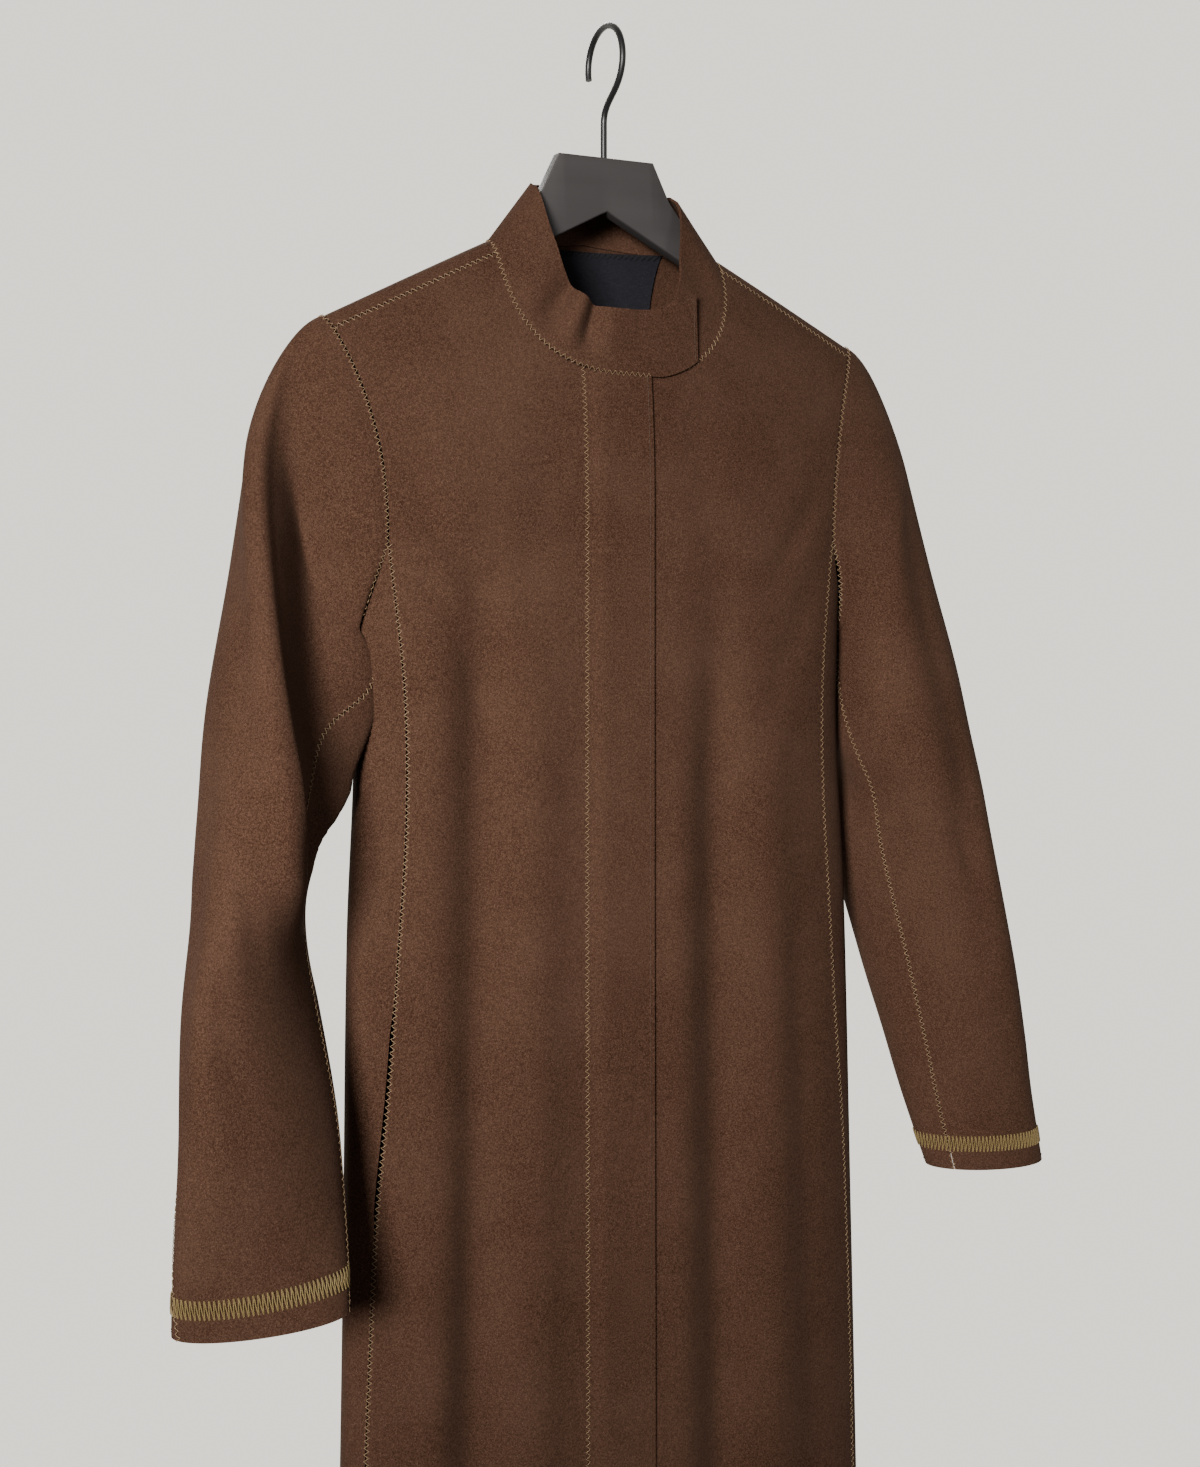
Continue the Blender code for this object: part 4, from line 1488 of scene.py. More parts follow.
@dataclass(frozen=True)
class Placket(Panel):
    """The fly-front band on the right front."""

    start: float = -0.036
    end: float = 0.013
    sink: float = 0.014
    columns: int = 22
    rows: int = 160
    edge_stitch: float = 0.0032

    def build(self) -> None:
        """Builds the band with its zigzag and its edge stitching."""
        form = self.form
        across = np.linspace(self.start, self.end, self.columns + 1)
        levels = form.body_rows(form.front_reach, self.rows)
        downs = [form.neck_down(across), *(form.row_down(base, slope, across) for base, slope in levels)]
        over = LAP * ease((across - self.start) / self.sink)
        grid = [place(across, form.front(across, down) + over, down) for down in downs]
        cloth = Cloth(np.array(grid), -1)
        rows = np.arange(len(downs))
        zigzag = Sewing("placket_zigzag", self.finishes.seam_thread)
        zigzag.zigzag(cloth.line(rows, np.zeros(len(rows)), SEAM_ZIGZAG.lift), SEAM_ZIGZAG)
        edge = Sewing("placket_edge_stitch", self.finishes.matching_thread)
        spacing = (self.end - self.start) / self.columns
        inset = np.full(len(rows), self.columns - self.edge_stitch / spacing)
        edge.straight(cloth.line(rows, inset, STRAIGHT.lift), STRAIGHT)
        threads = [zigzag.made(Slot.WOOL), edge.made(Slot.WOOL)]
        self.declare(cloth, "placket", Held.LAID, ["front_right_cloth", "front_left_cloth"], threads)


@dataclass(frozen=True)
class Back(Panel):
    """The back, which runs over the shoulder ridge to the forward shoulder seams."""

    shoulder_columns: int = 28
    neck_columns: int = 26
    shoulder_rows: int = 22
    body_rows: int = 130
    first_neck_angle: float = 3.0

    def top(self) -> list[tuple[float, float]]:
        """The top edge from the wearer's left to centre.

        Returns:
            (across, turn over the ridge) of its points.
        """
        form = self.form
        turn = math.acos(1 - (form.seam_drop - SEAM_GAP) / form.front_reach)
        tip = form.outer_end(form.ridge + form.seam_drop, 1.0, "back")
        edge = [(x, turn) for x in np.linspace(tip, form.neck_half, self.shoulder_columns + 1)]
        for angle in np.linspace(self.first_neck_angle, 90, self.neck_columns):
            across, down = form.back_neck(angle)
            drop = max(0.0, down - float(form.ridge_down(across)))
            edge.append((across, -math.acos(1 - drop / form.back_reach)))
        return edge

    def roll_point(self, across: float, turn: float) -> Array:
        """A point of the shoulder's roll.

        Args:
            across: the place across.
            turn: turn over the ridge, above 0 in front of it and below 0 behind it.

        Returns:
            The point in the frame.
        """
        form = self.form
        reach = form.front_reach if turn > 0 else form.back_reach
        down = float(form.ridge_down(across)) + reach * (1 - math.cos(turn))
        surface = form.front if turn > 0 else form.back
        return place(across, surface(across, down), down)

    def armhole_at(self, turn: float) -> float:
        """Where the armhole crosses a line of the shoulder's roll."""
        reach = self.form.front_reach if turn > 0 else self.form.back_reach
        return self.form.outer_end(self.form.ridge + reach * (1 - math.cos(turn)), 1.0, "back")

    def cloth(self) -> Cloth:
        """The back's surface.

        Returns:
            A grid, top edge to hem, from the wearer's left to right.
        """
        form = self.form
        half = self.top()
        top = half + [(-across, turn) for across, turn in reversed(half[:-1])]
        rows = form.body_rows(form.back_reach, self.body_rows)
        last = form.outer_end(*rows[0], "back") - SEAM_GAP
        even = np.linspace(last, -last, len(top))
        grid = []
        for step in range(self.shoulder_rows):
            share = step / self.shoulder_rows
            points = []
            for (across, turn), low in zip(top, even):
                here = turn + (-math.pi / 2 - turn) * share
                beside = across + (low - across) * share
                if abs(low) == last:
                    beside = math.copysign(self.armhole_at(here) - SEAM_GAP, low)
                points.append(self.roll_point(beside, here))
            grid.append(np.array(points))
        for base, slope in rows:
            last = form.outer_end(base, slope, "back") - SEAM_GAP
            across = np.linspace(last, -last, len(top))
            down = form.row_down(base, slope, across)
            grid.append(place(across, form.back(across, down), down))
        return Cloth(np.array(grid), -1)

    def build(self) -> None:
        """Builds the back with the sewing of its seams to the sides."""
        cloth = self.cloth()
        cols = cloth.points.shape[1]
        sewing = Sewing("back_zigzag", self.finishes.seam_thread)
        for col in (0, cols - 1):
            rows = np.flatnonzero(-cloth.points[:, col, 2] >= self.form.join_down)
            rows = rows[rows > self.shoulder_rows]
            sewing.zigzag(cloth.line(rows, np.full(len(rows), col), SEAM_ZIGZAG.lift), SEAM_ZIGZAG)
        self.declare(cloth, "back", Held.HUNG, ["hanger_board"], [sewing.made(Slot.WOOL)])


@dataclass(frozen=True)
class SidePanel(Panel):
    """A side panel from the princess seam to the back seam."""

    side: Side
    columns: int = 34
    rows: int = 120

    def build(self) -> None:
        """Builds the side."""
        grid = []
        for level in np.linspace(0.0, 1.0, self.rows + 1):
            shares = np.linspace(0.0, 1.0, self.columns + 1)
            points = [self.form.side(share, level, SEAM_GAP) for share in shares]
            grid.append([place(self.side.value * x, forward, down) for x, forward, down in points])
        cloth = Cloth(np.array(grid), -self.side.value)
        word = self.side.word
        self.declare(cloth, f"side_{word}", Held.HUNG, [f"front_{word}_cloth", "back_cloth"])


def outwards(angles: Array) -> Array:
    """Unit vectors out of the sleeve, level, at angles round it."""
    turn = np.radians(angles)
    return np.stack([np.cos(turn), np.sin(turn), np.zeros_like(turn)], axis=-1)


def round_from(start: Array, angles: Array) -> Array:
    """Degrees round the sleeve from one angle to others, -180 to 180."""
    return (angles - start + 180) % 360 - 180


def course(line: SleeveFold | Tuck | Web, steps: Array) -> Array:
    """Angles of a fold's line, which turns round the sleeve on its way down."""
    along = np.clip((steps - line.start) / (line.end - line.start), 0.0, 1.0)[:, None]
    return line.angle + (line.to_angle - line.angle) * along


@dataclass(frozen=True)
class Sleeve(Panel):
    """A two-piece sleeve from the armhole to the cuff."""

    side: Side
    upper_columns: int = 110
    under_columns: int = 54
    rows: int = 170
    gap_angle: float = 0.4
    fold_fade: float = 1.2
    tuck_fade: float = 1.5
    web_fade: float = 0.8
    web_turn: float = 0.08
    hole_step: float = 2.0
    crown_leave: Point = (0.070, 0.0, 0.024)
    underarm_leave: Point = (0.004, 0.0, 0.030)
    arc: float = 0.00083
    pitch: float = 0.055
    band_from: float = 0.0140
    band_to: float = 0.0255
    band_layers: int = 5
    band_stitch: Stitch = Stitch(width=0.0115, period=0.0027, radius=0.00042, seat=0.7)
    cuff_line: float = 0.0035

    def ring(self, steps: Array, angles: Array) -> Array:
        """Points of the plain tube.

        Args:
            steps: ring steps, one to a row.
            angles: degrees round the ring, rows by columns.

        Returns:
            Across, forward and down of each point.
        """
        rings = RINGS[self.side]
        numbers = np.arange(len(rings))
        sizes = {name: smooth(steps, numbers, column(rings, name))[:, None] for name in Ring._fields}
        turn, axis = np.radians(angles), np.radians(sizes["turn"])
        along = sizes["long"] * np.cos(turn - axis)
        beside = sizes["short"] * np.sin(turn - axis)
        across = sizes["across"] + along * np.cos(axis) - beside * np.sin(axis)
        forward = sizes["forward"] + along * np.sin(axis) + beside * np.cos(axis)
        down = sizes["down"] - sizes["tilt"] * np.cos(turn)
        return np.stack(np.broadcast_arrays(across, forward, down), axis=-1)

    def plain(self, steps: Array, angles: Array) -> Array:
        """Points of the sleeve without its folds.

        Args:
            steps: steps along it, -1 at the armhole, 0 at the first ring.
            angles: degrees round it, rows by columns.

        Returns:
            Across, forward and down of each point.
        """
        every = np.arange(0.0, 360.0 + self.hole_step / 2, self.hole_step)
        hole = np.array([self.form.armhole(angle % 360) for angle in every])
        start = np.stack([np.interp(angles % 360, every, hole[:, i]) for i in range(3)], axis=-1)
        zero = np.zeros_like(steps)
        end = self.ring(zero, angles)
        arrive = 2 * (self.ring(zero + 0.5, angles) - end)
        outer = ((1 + np.cos(np.radians(angles))) / 2)[..., None]
        leave = np.array(self.crown_leave) * outer + np.array(self.underarm_leave) * (1 - outer)
        t = np.clip(steps + 1, 0.0, 1.0)[:, None, None]
        head = (1 + 2 * t) * (1 - t) ** 2 * start + t * (1 - t) ** 2 * leave
        head = head + t * t * (3 - 2 * t) * end + t * t * (t - 1) * arrive
        return np.where((steps >= 0)[:, None, None], self.ring(np.maximum(steps, 0.0), angles), head)

    def pulled(self, web: Web, steps: Array, angles: Array, points: Array) -> Array:
        """Pulls a web of cloth straight.

        Args:
            web: the web.
            steps: steps along the sleeve.
            angles: degrees round it, rows by columns.
            points: the plain sleeve's points.

        Returns:
            The points with the web pulled straight.
        """
        edge = course(web, steps)
        share = np.clip(round_from(edge, angles) / (web.far - edge), 0.0, 1.0)
        near = self.plain(steps, edge)
        far = self.plain(steps, np.full_like(edge, web.far))
        taut = near + (far - near) * share[..., None]
        taut = taut - outwards(angles) * (web.sag * np.sin(math.pi * share))[..., None]
        fade = window(steps, web.start, web.end, self.web_fade)[:, None] * ease(share / self.web_turn)
        return points + (taut - points) * (fade * (share < 1))[..., None]

    def in_metres(self, crease: Crease) -> Crease:
        """A sleeve's crease, given in degrees and steps, in metres along the cloth."""
        x, y, to_x, to_y, *sizes = crease
        return Crease(x * self.arc, y * self.pitch, to_x * self.arc, to_y * self.pitch, *sizes)

    def relief(self, steps: Array, angles: Array) -> Array:
        """Height of the sleeve's folds, tucks and creases.

        Args:
            steps: steps along it.
            angles: degrees round it, rows by columns.

        Returns:
            Heights over the plain sleeve.
        """
        height = np.zeros_like(angles)
        for fold in SLEEVE_FOLDS[self.side]:
            off = round_from(course(fold, steps), angles) / fold.half_width
            fade = window(steps, fold.start, fold.end, self.fold_fade)[:, None]
            height = height + fold.depth * np.exp(-off * off) * fade
        for tuck in TUCKS[self.side]:
            past = round_from(course(tuck, steps), angles) / tuck.onset
            back_up = np.exp(-np.maximum(past - 1, 0.0) * abs(tuck.onset) / tuck.recover)
            fade = window(steps, tuck.start, tuck.end, self.tuck_fade)[:, None]
            height = height - tuck.depth * ease(past) * back_up * fade
        creases = [self.in_metres(crease) for crease in SLEEVE_CREASES[self.side]]
        return height + crease_relief(creases, angles * self.arc, (steps * self.pitch)[:, None])

    def surface(self, steps: Array, angles: Array) -> Array:
        """Points of the sleeve in the frame.

        Args:
            steps: steps along it, -1 at the armhole, 0 at the first ring.
            angles: degrees round it, rows by columns.

        Returns:
            Rows by columns of points.
        """
        points = self.plain(steps, angles)
        for web in WEBS[self.side]:
            points = self.pulled(web, steps, angles, points)
        points = points + outwards(angles) * self.relief(steps, angles)[..., None]
        return place(self.side.value * points[..., 0], points[..., 1], points[..., 2])

    def build(self) -> None:
        """Builds both halves with their seams and the cuff's band."""
        rings = len(RINGS[self.side])
        steps = np.linspace(-1.0, rings - 1.0, self.rows + 1)
        alongs = column(SLEEVE_SEAMS, "along")
        word = self.side.word
        front = smooth((steps + 1) / rings, alongs, column(SLEEVE_SEAMS, f"front_{word}"))[:, None]
        back = smooth((steps + 1) / rings, alongs, column(SLEEVE_SEAMS, f"back_{word}"))[:, None]
        upper_share = np.linspace(0.0, 1.0, self.upper_columns + 1)[None]
        under_share = np.linspace(0.0, 1.0, self.under_columns + 1)[None]
        joined = np.concatenate(
            [back + (front - back) * upper_share, front + (back + 360 - front) * under_share[:, 1:]], axis=1
        )
        tube_points = self.surface(steps, joined)
        wrapped = np.concatenate([tube_points[:, -2:-1], tube_points, tube_points[:, 1:2]], axis=1)
        normals = self.side.value * normals_of(wrapped)[:, 1:-1]
        whole = Cloth(tube_points, self.side.value, normals)
        gap = self.gap_angle
        upper_angles = back + gap + (front - back - 2 * gap) * upper_share
        under_angles = front + gap + (back + 360 - front - 2 * gap) * under_share
        cut = self.upper_columns
        upper = Cloth(self.surface(steps, upper_angles), self.side.value, normals[:, : cut + 1])
        under = Cloth(self.surface(steps, under_angles), self.side.value, normals[:, cut:])
        threads = [self.seams(whole), self.cuff(whole), self.cuff_edge(whole)]
        hung = [f"front_{word}_cloth", "back_cloth"]
        self.declare(upper, f"sleeve_upper_{word}", Held.HUNG, hung, threads)
        self.declare(under, f"sleeve_under_{word}", Held.HUNG, [*hung, f"side_{word}_cloth"])

    def seams(self, whole: Cloth) -> bpy.types.Object:
        """Zigzags along the armhole and the sleeve's two seams.

        Args:
            whole: the sleeve's whole tube.

        Returns:
            The sewing.
        """
        rows, cols = whole.points.shape[:2]
        sewing = Sewing(f"sleeve_{self.side.word}_zigzag", self.finishes.seam_thread)
        sewing.zigzag(whole.line(np.zeros(cols), np.arange(cols), SEAM_ZIGZAG.lift), SEAM_ZIGZAG)
        for col in (0, self.upper_columns):
            sewing.zigzag(whole.line(np.arange(rows), np.full(rows, col), SEAM_ZIGZAG.lift), SEAM_ZIGZAG)
        return sewing.made(Slot.WOOL)

    def row_above_cuff(self, whole: Cloth, height: float) -> Array:
        """Row numbers at a height over the cuff's edge.

        Args:
            whole: the sleeve's whole tube.
            height: distance from the cuff's edge along the cloth.

        Returns:
            A row number, between rows, for each column.
        """
        steps = np.linalg.norm(np.diff(whole.points[::-1], axis=0), axis=2)
        run = np.concatenate([np.zeros((1, steps.shape[1])), np.cumsum(steps, axis=0)])
        numbers = np.arange(len(run))
        return np.array([numbers[-1] - np.interp(height, line, numbers) for line in run.T])

    def cuff(self, whole: Cloth) -> bpy.types.Object:
        """The broad zigzag band round the cuff.

        Args:
            whole: the sleeve's whole tube.

        Returns:
            The sewing.
        """
        cols = np.arange(whole.points.shape[1])
        heights = np.linspace(self.band_from, self.band_to, self.band_layers)
        stitch = self.band_stitch
        lines = [whole.line(self.row_above_cuff(whole, height), cols, stitch.lift) for height in heights]
        spacing = stitch.period / 2
        count = len(lines[0].resampled(spacing).points)
        length = spacing * (count - 1)
        # Half a space more than the first line has, so that no line comes out a point short.
        evened = [line.resampled(length / (count - 0.5)) for line in lines]
        total = min(len(line.points) for line in evened)
        layers = range(self.band_layers)
        thread = []
        for k in range(total - 1):
            for step, layer in enumerate(layers if k % 2 == 0 else reversed(layers)):
                share = step / self.band_layers
                line = evened[layer]
                point = line.points[k] * (1 - share) + line.points[k + 1] * share
                thread.append(point + line.normals[k] * stitch.arch * math.sin(math.pi * share))
        sewing = Sewing(f"cuff_{self.side.word}_band", self.finishes.cuff_thread)
        sewing.thread(np.array(thread), stitch)
        return sewing.made(Slot.WOOL)

    def cuff_edge(self, whole: Cloth) -> bpy.types.Object:
        """A line of straight stitches just over the cuff's edge.

        Args:
            whole: the sleeve's whole tube.

        Returns:
            The sewing.
        """
        cols = np.arange(whole.points.shape[1])
        sewing = Sewing(f"cuff_{self.side.word}_edge_stitch", self.finishes.matching_thread)
        rows = self.row_above_cuff(whole, self.cuff_line)
        sewing.straight(whole.line(rows, cols, STRAIGHT.lift), STRAIGHT)
        return sewing.made(Slot.WOOL)


@dataclass(frozen=True)
class Collar(Panel):
    """The stand collar with its squared tab."""

    tab_end: float = 0.0515
    tab_lift: float = 0.0035
    tab_stand: float = 0.0006
    tab_overlap: float = 0.0028
    tab_overlap_rise: float = 2.0
    tab_turns: float = 40.0
    under_end: float = 174.0
    over_from: float = 118.0
    over_turn: float = 40.0
    lift: float = 0.0002
    inset: float = 0.0004
    turn_step: float = 1.5
    tab_columns: int = 26
    rows: int = 20
    zigzag_end: float = 0.013
    edge_stitch: float = 0.0024
    ripple_rise: float = 1.6

    def line(self, base: tuple[float, float, float], turn: float) -> tuple[Array, Array]:
        """One line of the collar.

        Args:
            base: across, forward and down at the neck seam.
            turn: degrees from centre back.

        Returns:
            Its foot and its top edge.
        """
        across, forward, down = base
        lean = Lean(*(float(smooth(turn, column(LEANS, "turn"), column(LEANS, n))) for n in Lean._fields))
        foot = np.array([across * (1 - self.inset / self.form.neck_half), forward, down - self.lift])
        top = np.array([across * lean.keep, forward + lean.forward, down - lean.rise])
        return foot, top

    def lines(self) -> tuple[list[tuple[Array, Array]], list[float]]:
        """The collar's lines from its under end, round the back, to the end of its tab.

        Returns:
            Feet and tops, and for each line its turn on the wearer's right (below 0 on the left).
        """
        turns = np.arange(self.under_end, 0.0, -self.turn_step)
        lines, where = [], []
        for turn in [*turns, 0.0]:
            lines.append(self.line(self.form.neck_point(turn), turn))
            where.append(-turn)
        for turn in turns[::-1]:
            across, forward, down = self.form.neck_point(turn)
            over = LAP * float(ease((turn - self.over_from) / self.over_turn))
            lines.append(self.line((-across, forward + over, down), turn))
            where.append(turn)
        for share in np.linspace(0.0, 1.0, self.tab_columns + 1):
            across = self.tab_end * share
            down = float(self.form.neck_down(across)) - self.tab_lift * share**2
            forward = float(self.form.front(across, down)) + LAP + self.tab_stand * share
            foot, top = self.line((across, forward, down), 180)
            foot[2] += self.tab_overlap * float(ease(self.tab_overlap_rise * share))
            top[0] = across
            lines.append((foot, top))
            where.append(180 + self.tab_turns * share)
        return lines, where

    def build(self) -> None:
        """Builds the collar with its neck seam's zigzag and the tab's edge stitching."""
        lines, where = self.lines()
        shares = np.linspace(0.0, 1.0, self.rows + 1)
        grid = np.array(
            [[place(*(foot + (top - foot) * share)) for foot, top in lines] for share in shares]
        )
        cloth = Cloth(grid, 1)
        turns = np.array(where)[None]
        height = np.zeros((self.rows + 1, len(where)))
        for ripple in RIPPLES:
            off = (turns - ripple.turn - ripple.slant * shares[:, None]) / ripple.half_width
            height += ripple.depth * np.exp(-off * off) * ease(shares * self.ripple_rise)[:, None]
        cloth = Cloth(grid + cloth.normals * height[..., None], 1)
        cols = grid.shape[1]
        tab = cols - 1 - self.tab_columns
        zigzag = Sewing("collar_zigzag", self.finishes.seam_thread)
        last = tab + int(self.tab_columns * self.zigzag_end / self.tab_end)
        along = np.arange(0, last + 1)
        zigzag.zigzag(cloth.line(np.zeros(len(along)), along, SEAM_ZIGZAG.lift), SEAM_ZIGZAG)
        edge = Sewing("collar_tab_stitch", self.finishes.matching_thread)
        inset = self.edge_stitch / (self.tab_end / self.tab_columns)
        rows = np.arange(1, self.rows)
        edge.straight(cloth.line(rows, np.full(len(rows), cols - 1 - inset), STRAIGHT.lift), STRAIGHT)
        threads = [zigzag.made(Slot.WOOL), edge.made(Slot.WOOL)]
        rests = ["front_right_cloth", "front_left_cloth", "back_cloth"]
        self.declare(cloth, "collar", Held.HUNG, rests, threads)


@dataclass(frozen=True)
class Label(Panel):
    """The bare label inside the back neck."""

    half: float = 0.056
    top: float = 0.1475
    bottom: float = 0.195
    gap: float = 0.0015
    ridge_drop: float = 0.006
    columns: int = 40
    rows: int = 18
    stitch: Stitch = Stitch(width=0.0, period=0.004, radius=0.00034)
    slant: float = 0.003
    spacing: float = 0.0042
    stitch_rows: Range = (1.3, -0.2)
    stitch_points: int = 5

    def build(self) -> None:
        """Builds the label with the slanted stitches along its top edge."""
        form = self.form
        inside = WALL / 2 + self.gap + LABEL_WALL / 2
        across = np.linspace(-self.half, self.half, self.columns + 1)
        top = np.maximum(self.top, form.ridge_down(across) + self.ridge_drop)
        grid = []
        for share in np.linspace(0.0, 1.0, self.rows + 1):
            down = top + (self.bottom - self.top) * share
            grid.append(place(across, form.back(across, down) + inside, down))
        cloth = Cloth(np.array(grid), -1)
        sewing = Sewing("label_stitches", self.finishes.label_thread)
        step = 2 * self.half / self.columns
        for start in np.arange(1.0, self.columns - 1.0, self.spacing / step):
            cols = np.linspace(start, start + self.slant / step, self.stitch_points)
            rows = np.linspace(*self.stitch_rows, self.stitch_points).clip(0.0)
            line = cloth.line(rows, cols, LABEL_WALL / 2)
            arch = np.sin(np.linspace(0.0, math.pi, self.stitch_points)) * self.stitch.arch
            sewing.thread(line.points + line.normals * arch[:, None], self.stitch)
        threads = [sewing.made(Slot.LABEL)]
        self.declare(cloth, "label", Held.HUNG, ["back_cloth"], threads, self.finishes.label)


@dataclass(frozen=True)
class PocketBag(Panel):
    """A single cloth patch behind a pocket slit."""

    side: Side
    front: Cloth
    start: float = 0.60
    end: float = 0.85
    width_share: float = 0.375

    def build(self) -> None:
        """Builds the patch from the front's own points."""
        levels = -self.front.points[:, -1, 2]
        rows = np.flatnonzero((levels >= self.start) & (levels <= self.end))
        first = int(round(self.front.points.shape[1] * (1 - self.width_share)))
        part = self.front.part(slice(rows[0], rows[-1] + 1), slice(first, None))
        cloth = part.moved(-(WALL / 2 + SEAM_GAP + POCKET_WALL / 2))
        word = self.side.word
        rests = [f"front_{word}_cloth"]
        self.declare(cloth, f"pocket_bag_{word}", Held.HUNG, rests, stuff=self.finishes.pocket)


@dataclass(frozen=True)
class Hanger:
    """The flat wooden hanger and its wire hook."""

    form: CoatForm
    finishes: Finishes
    head_top: float = 0.088
    head_top_half: float = 0.036
    head_side: float = 0.1135
    head_side_half: float = 0.0485
    necking: float = 0.1555
    necking_half: float = 0.083
    necking_blend: float = 0.012
    apex: float = 0.125
    lower_slope: float = 0.51
    half_thickness: float = 0.0055
    head_chamfer: float = 0.0016
    arm_chamfer: float = 0.0040
    clearance: float = 0.0021
    end: float = 0.186
    wire: float = 0.00225
    radius: float = 0.025
    centre_forward: float = 0.002
    front_turn: float = 130.0
    tip_turn: float = -105.0
    stem_top: float = 0.064
    bend_pull: float = 0.4
    round_steps: int = 4
    station_spacing: float = 0.004
    fewest_stations: int = 3
    arc_points: int = 60
    bend_points: int = 20
    stem_points: int = 9
    wire_sides: int = 16

    def upper(self, across: float) -> float:
        """Level of the board's upper edge.

        Args:
            across: distance from the middle.

        Returns:
            The level.
        """
        corners = (self.head_top_half, self.head_side_half, self.necking_half)
        if across <= self.necking_half:
            return float(np.interp(across, corners, (self.head_top, self.head_side, self.necking)))
        arm = float(self.form.ridge_down(across)) + WALL / 2 + self.clearance
        blend = float(ease((across - self.necking_half) / self.necking_blend))
        neck = self.necking + (across - self.necking_half) * self.form.ridge_slope
        return neck + blend * (arm - neck)

    def outline(self, across: float) -> Array:
        """The board's section at a place across, with rounded corners.

        Args:
            across: the place.

        Returns:
            The section's points in the frame.
        """
        distance = abs(across)
        upper = self.upper(distance)
        lower = self.apex + self.lower_slope * distance
        arm = float(ease((distance - self.head_side_half) / (self.necking_half - self.head_side_half)))
        cut = self.head_chamfer + (self.arm_chamfer - self.head_chamfer) * arm
        thick = self.half_thickness
        corners = [
            (thick - cut, upper + cut, -90.0),
            (thick - cut, lower - cut, 0.0),
            (cut - thick, lower - cut, 90.0),
            (cut - thick, upper + cut, 180.0),
        ]
        points = []
        for forward, down, start in corners:
            for turn in np.radians(np.linspace(start, start + 90, self.round_steps + 1)):
                points.append(place(across, forward + cut * math.cos(turn), down + cut * math.sin(turn)))
        return np.array(points)

    def board(self) -> None:
        """Builds the board."""
        corners = [0.0, self.head_top_half, self.head_side_half, self.necking_half, self.end]
        half = [0.0]
        for start, stop in zip(corners, corners[1:]):
            count = max(self.fewest_stations, int((stop - start) / self.station_spacing))
            half += list(np.linspace(start, stop, count)[1:])
        stations = [-x for x in half[:0:-1]] + half
        sections = np.array([self.outline(across) for across in stations])
        faces = tube_faces(*sections.shape[:2])
        piece = add_mesh("hanger_board_lacquered", sections.reshape(-1, 3), faces, self.finishes.wood)
        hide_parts("hanger_board")

    def hook(self) -> None:
        """Builds the wire hook, which stands in a plane across the board."""
        turns = np.radians(np.linspace(self.front_turn, self.tip_turn, self.arc_points))
        forward = self.centre_forward + self.radius * np.sin(turns)
        arc = np.stack([forward, self.radius - self.wire - self.radius * np.cos(turns)], axis=1)
        start = np.array([0.0, self.stem_top])
        pull = self.bend_pull * np.linalg.norm(arc[0] - start)
        first = start + np.array([0.0, -pull])
        second = arc[0] - pull * np.array([-math.cos(turns[0]), -math.sin(turns[0])])
        t = np.linspace(0.0, 1.0, self.bend_points)[:-1, None]
        bend = (1 - t) ** 3 * start + 3 * t * (1 - t) ** 2 * first
        bend = bend + 3 * t * t * (1 - t) * second + t**3 * arc[0]
        levels = np.linspace(self.head_top - SEAM_GAP, self.stem_top, self.stem_points)[:-1]
        stem = np.stack([np.zeros_like(levels), levels], axis=1)
        route = np.concatenate([stem, bend, arc])
        points, faces = tube(place(0.0, route[:, 0], route[:, 1]), self.wire, self.wire_sides)
        piece = add_mesh("hanger_hook_wire", points, faces, self.finishes.wire)
        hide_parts("hanger_hook")


class Lamp(NamedTuple):
    """A soft square light; beam is the angle that its light spreads over, in degrees."""

    name: str
    where: Point
    size: float
    watts: float
    colour: Colour
    beam: float


LAMPS = [
    Lamp("key", (-1.56, -1.60, 0.05), 0.6, 18.0, (1.0, 0.97, 0.93), 52.0),
    Lamp("fill", (0.7, -1.9, 0.1), 0.7, 1.8, (1.0, 0.98, 0.95), 90.0),
    Lamp("behind", (0.6, 1.9, 0.9), 1.2, 80.0, (1.0, 0.99, 0.97), 180.0),
]


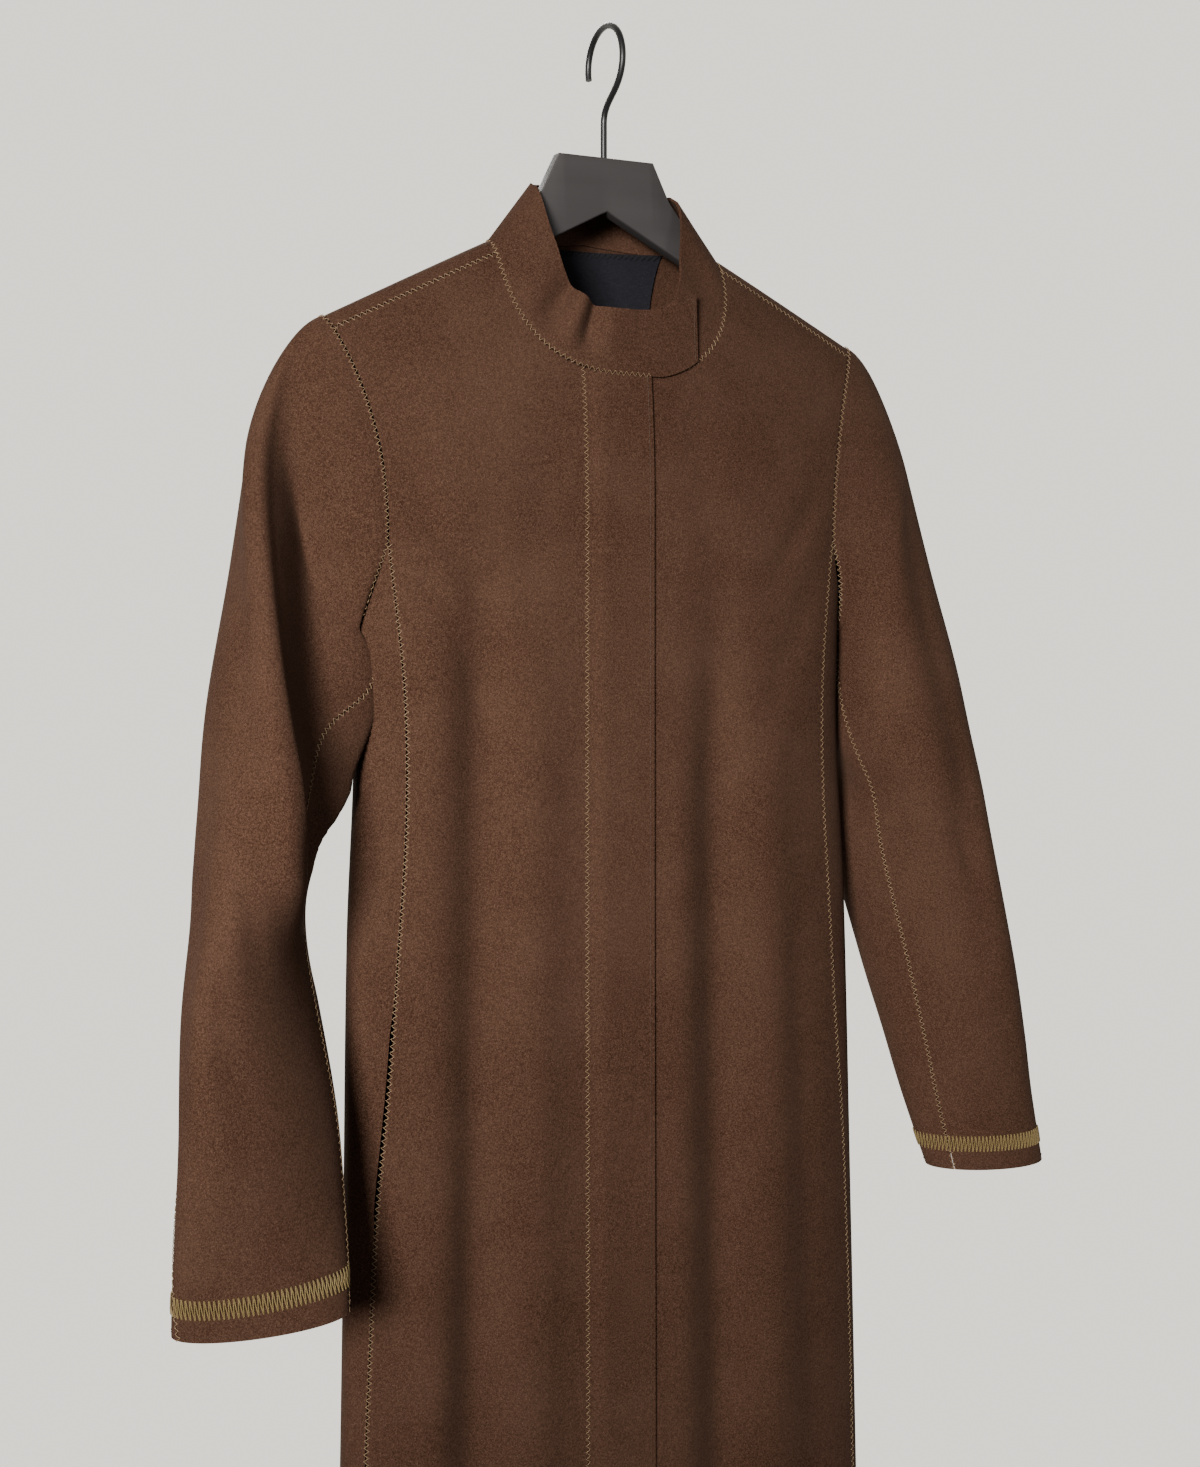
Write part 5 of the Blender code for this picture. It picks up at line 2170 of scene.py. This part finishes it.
@dataclass(frozen=True)
class Studio:
    """Floor, soft light and the camera at the photograph's viewing angle."""

    eye: Point = (-0.556, -1.046, -0.342)
    yaw: float = -28.0
    lens: float = 42.45
    shift_x: float = -0.0027
    shift_y: float = -0.1387
    floor_down: float = 1.55
    floor_radius: float = 0.9
    floor_sides: int = 96
    backdrop: Colour = (1.48, 1.42, 1.29)
    dim: Colour = (0.16, 0.155, 0.15)
    ahead: Point = (0.469, 0.883, 0.0)
    behind_limits: Range = (-0.1, 0.7)
    lit: Point = (0.0, 0.0, -0.5)

    def camera(self) -> None:
        """Makes the camera."""
        data = bpy.data.cameras.new("camera")
        data.lens = self.lens
        data.shift_x = self.shift_x
        data.shift_y = self.shift_y
        made = bpy.data.objects.new("camera", data)
        made.location = self.eye
        made.rotation_euler = (math.radians(90), 0.0, math.radians(self.yaw))
        bpy.context.scene.collection.objects.link(made)
        bpy.context.scene.camera = made

    def floor(self) -> None:
        """Makes the round pale floor under the coat."""
        turns = np.linspace(0.0, 2 * math.pi, self.floor_sides, endpoint=False)
        rim = np.stack([np.cos(turns), np.sin(turns), np.zeros_like(turns)], axis=1) * self.floor_radius
        points = rim + np.array([0.0, 0.0, -self.floor_down])
        mesh = bpy.data.meshes.new("floor")
        mesh.from_pydata(points.tolist(), [], [list(range(self.floor_sides))])
        mesh.materials.append(Plaster().make())
        made = bpy.data.objects.new("floor", mesh)
        bpy.context.scene.collection.objects.link(made)

    def light(self, lamp: Lamp) -> None:
        """Adds a light that faces the coat.

        Args:
            lamp: the light.
        """
        data = bpy.data.lights.new(lamp.name, "AREA")
        data.energy = lamp.watts
        data.size = lamp.size
        data.color = lamp.colour
        data.spread = math.radians(lamp.beam)
        made = bpy.data.objects.new(lamp.name, data)
        aim = np.array(self.lit) - np.array(lamp.where)
        turn = math.atan2(aim[0], -aim[1])
        tilt = math.atan2(math.hypot(aim[0], aim[1]), -aim[2])
        made.location = lamp.where
        made.rotation_euler = (tilt, 0.0, turn + math.pi)
        bpy.context.scene.collection.objects.link(made)

    def surroundings(self) -> None:
        """Makes what is round the coat: pale behind it and dim in front."""
        graph = Graph(bpy.data.worlds.new("studio"))
        where = graph.node("ShaderNodeTexCoord", {}, {}).outputs["Generated"]
        facing = graph.node("ShaderNodeVectorMath", {"operation": "DOT_PRODUCT"}, {0: where, 1: self.ahead})
        behind = graph.spread(Shade(graph, facing.outputs["Value"]), self.behind_limits)
        colour = graph.blend(behind, self.dim, self.backdrop)
        shade = graph.node("ShaderNodeBackground", {}, {"Color": colour, "Strength": 1.0})
        graph.node("ShaderNodeOutputWorld", {}, {"Surface": shade.outputs[0]})
        bpy.context.scene.world = graph.owner

    def build(self) -> None:
        """Makes the whole studio."""
        self.camera()
        self.floor()
        self.surroundings()
        for lamp in LAMPS:
            self.light(lamp)


def main() -> None:
    """Dresses the coat and its hanger."""
    logging.basicConfig(level=logging.INFO, format="%(message)s")
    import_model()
    form = CoatForm()
    finishes = Finishes.make()
    fronts = {
        Side.RIGHT: Front(form, finishes, Side.RIGHT, RIGHT_FRONT_EDGE).build(),
        Side.LEFT: Front(form, finishes, Side.LEFT, LEFT_FRONT_EDGE).build(),
    }
    Placket(form, finishes).build()
    Back(form, finishes).build()
    for side in Side:
        SidePanel(form, finishes, side).build()
        Sleeve(form, finishes, side).build()
        PocketBag(form, finishes, side, fronts[side]).build()
    Collar(form, finishes).build()
    Label(form, finishes).build()
    hanger = Hanger(form, finishes)
    hanger.board()
    hanger.hook()
    Studio().build()


if __name__ == "__main__":
    main()
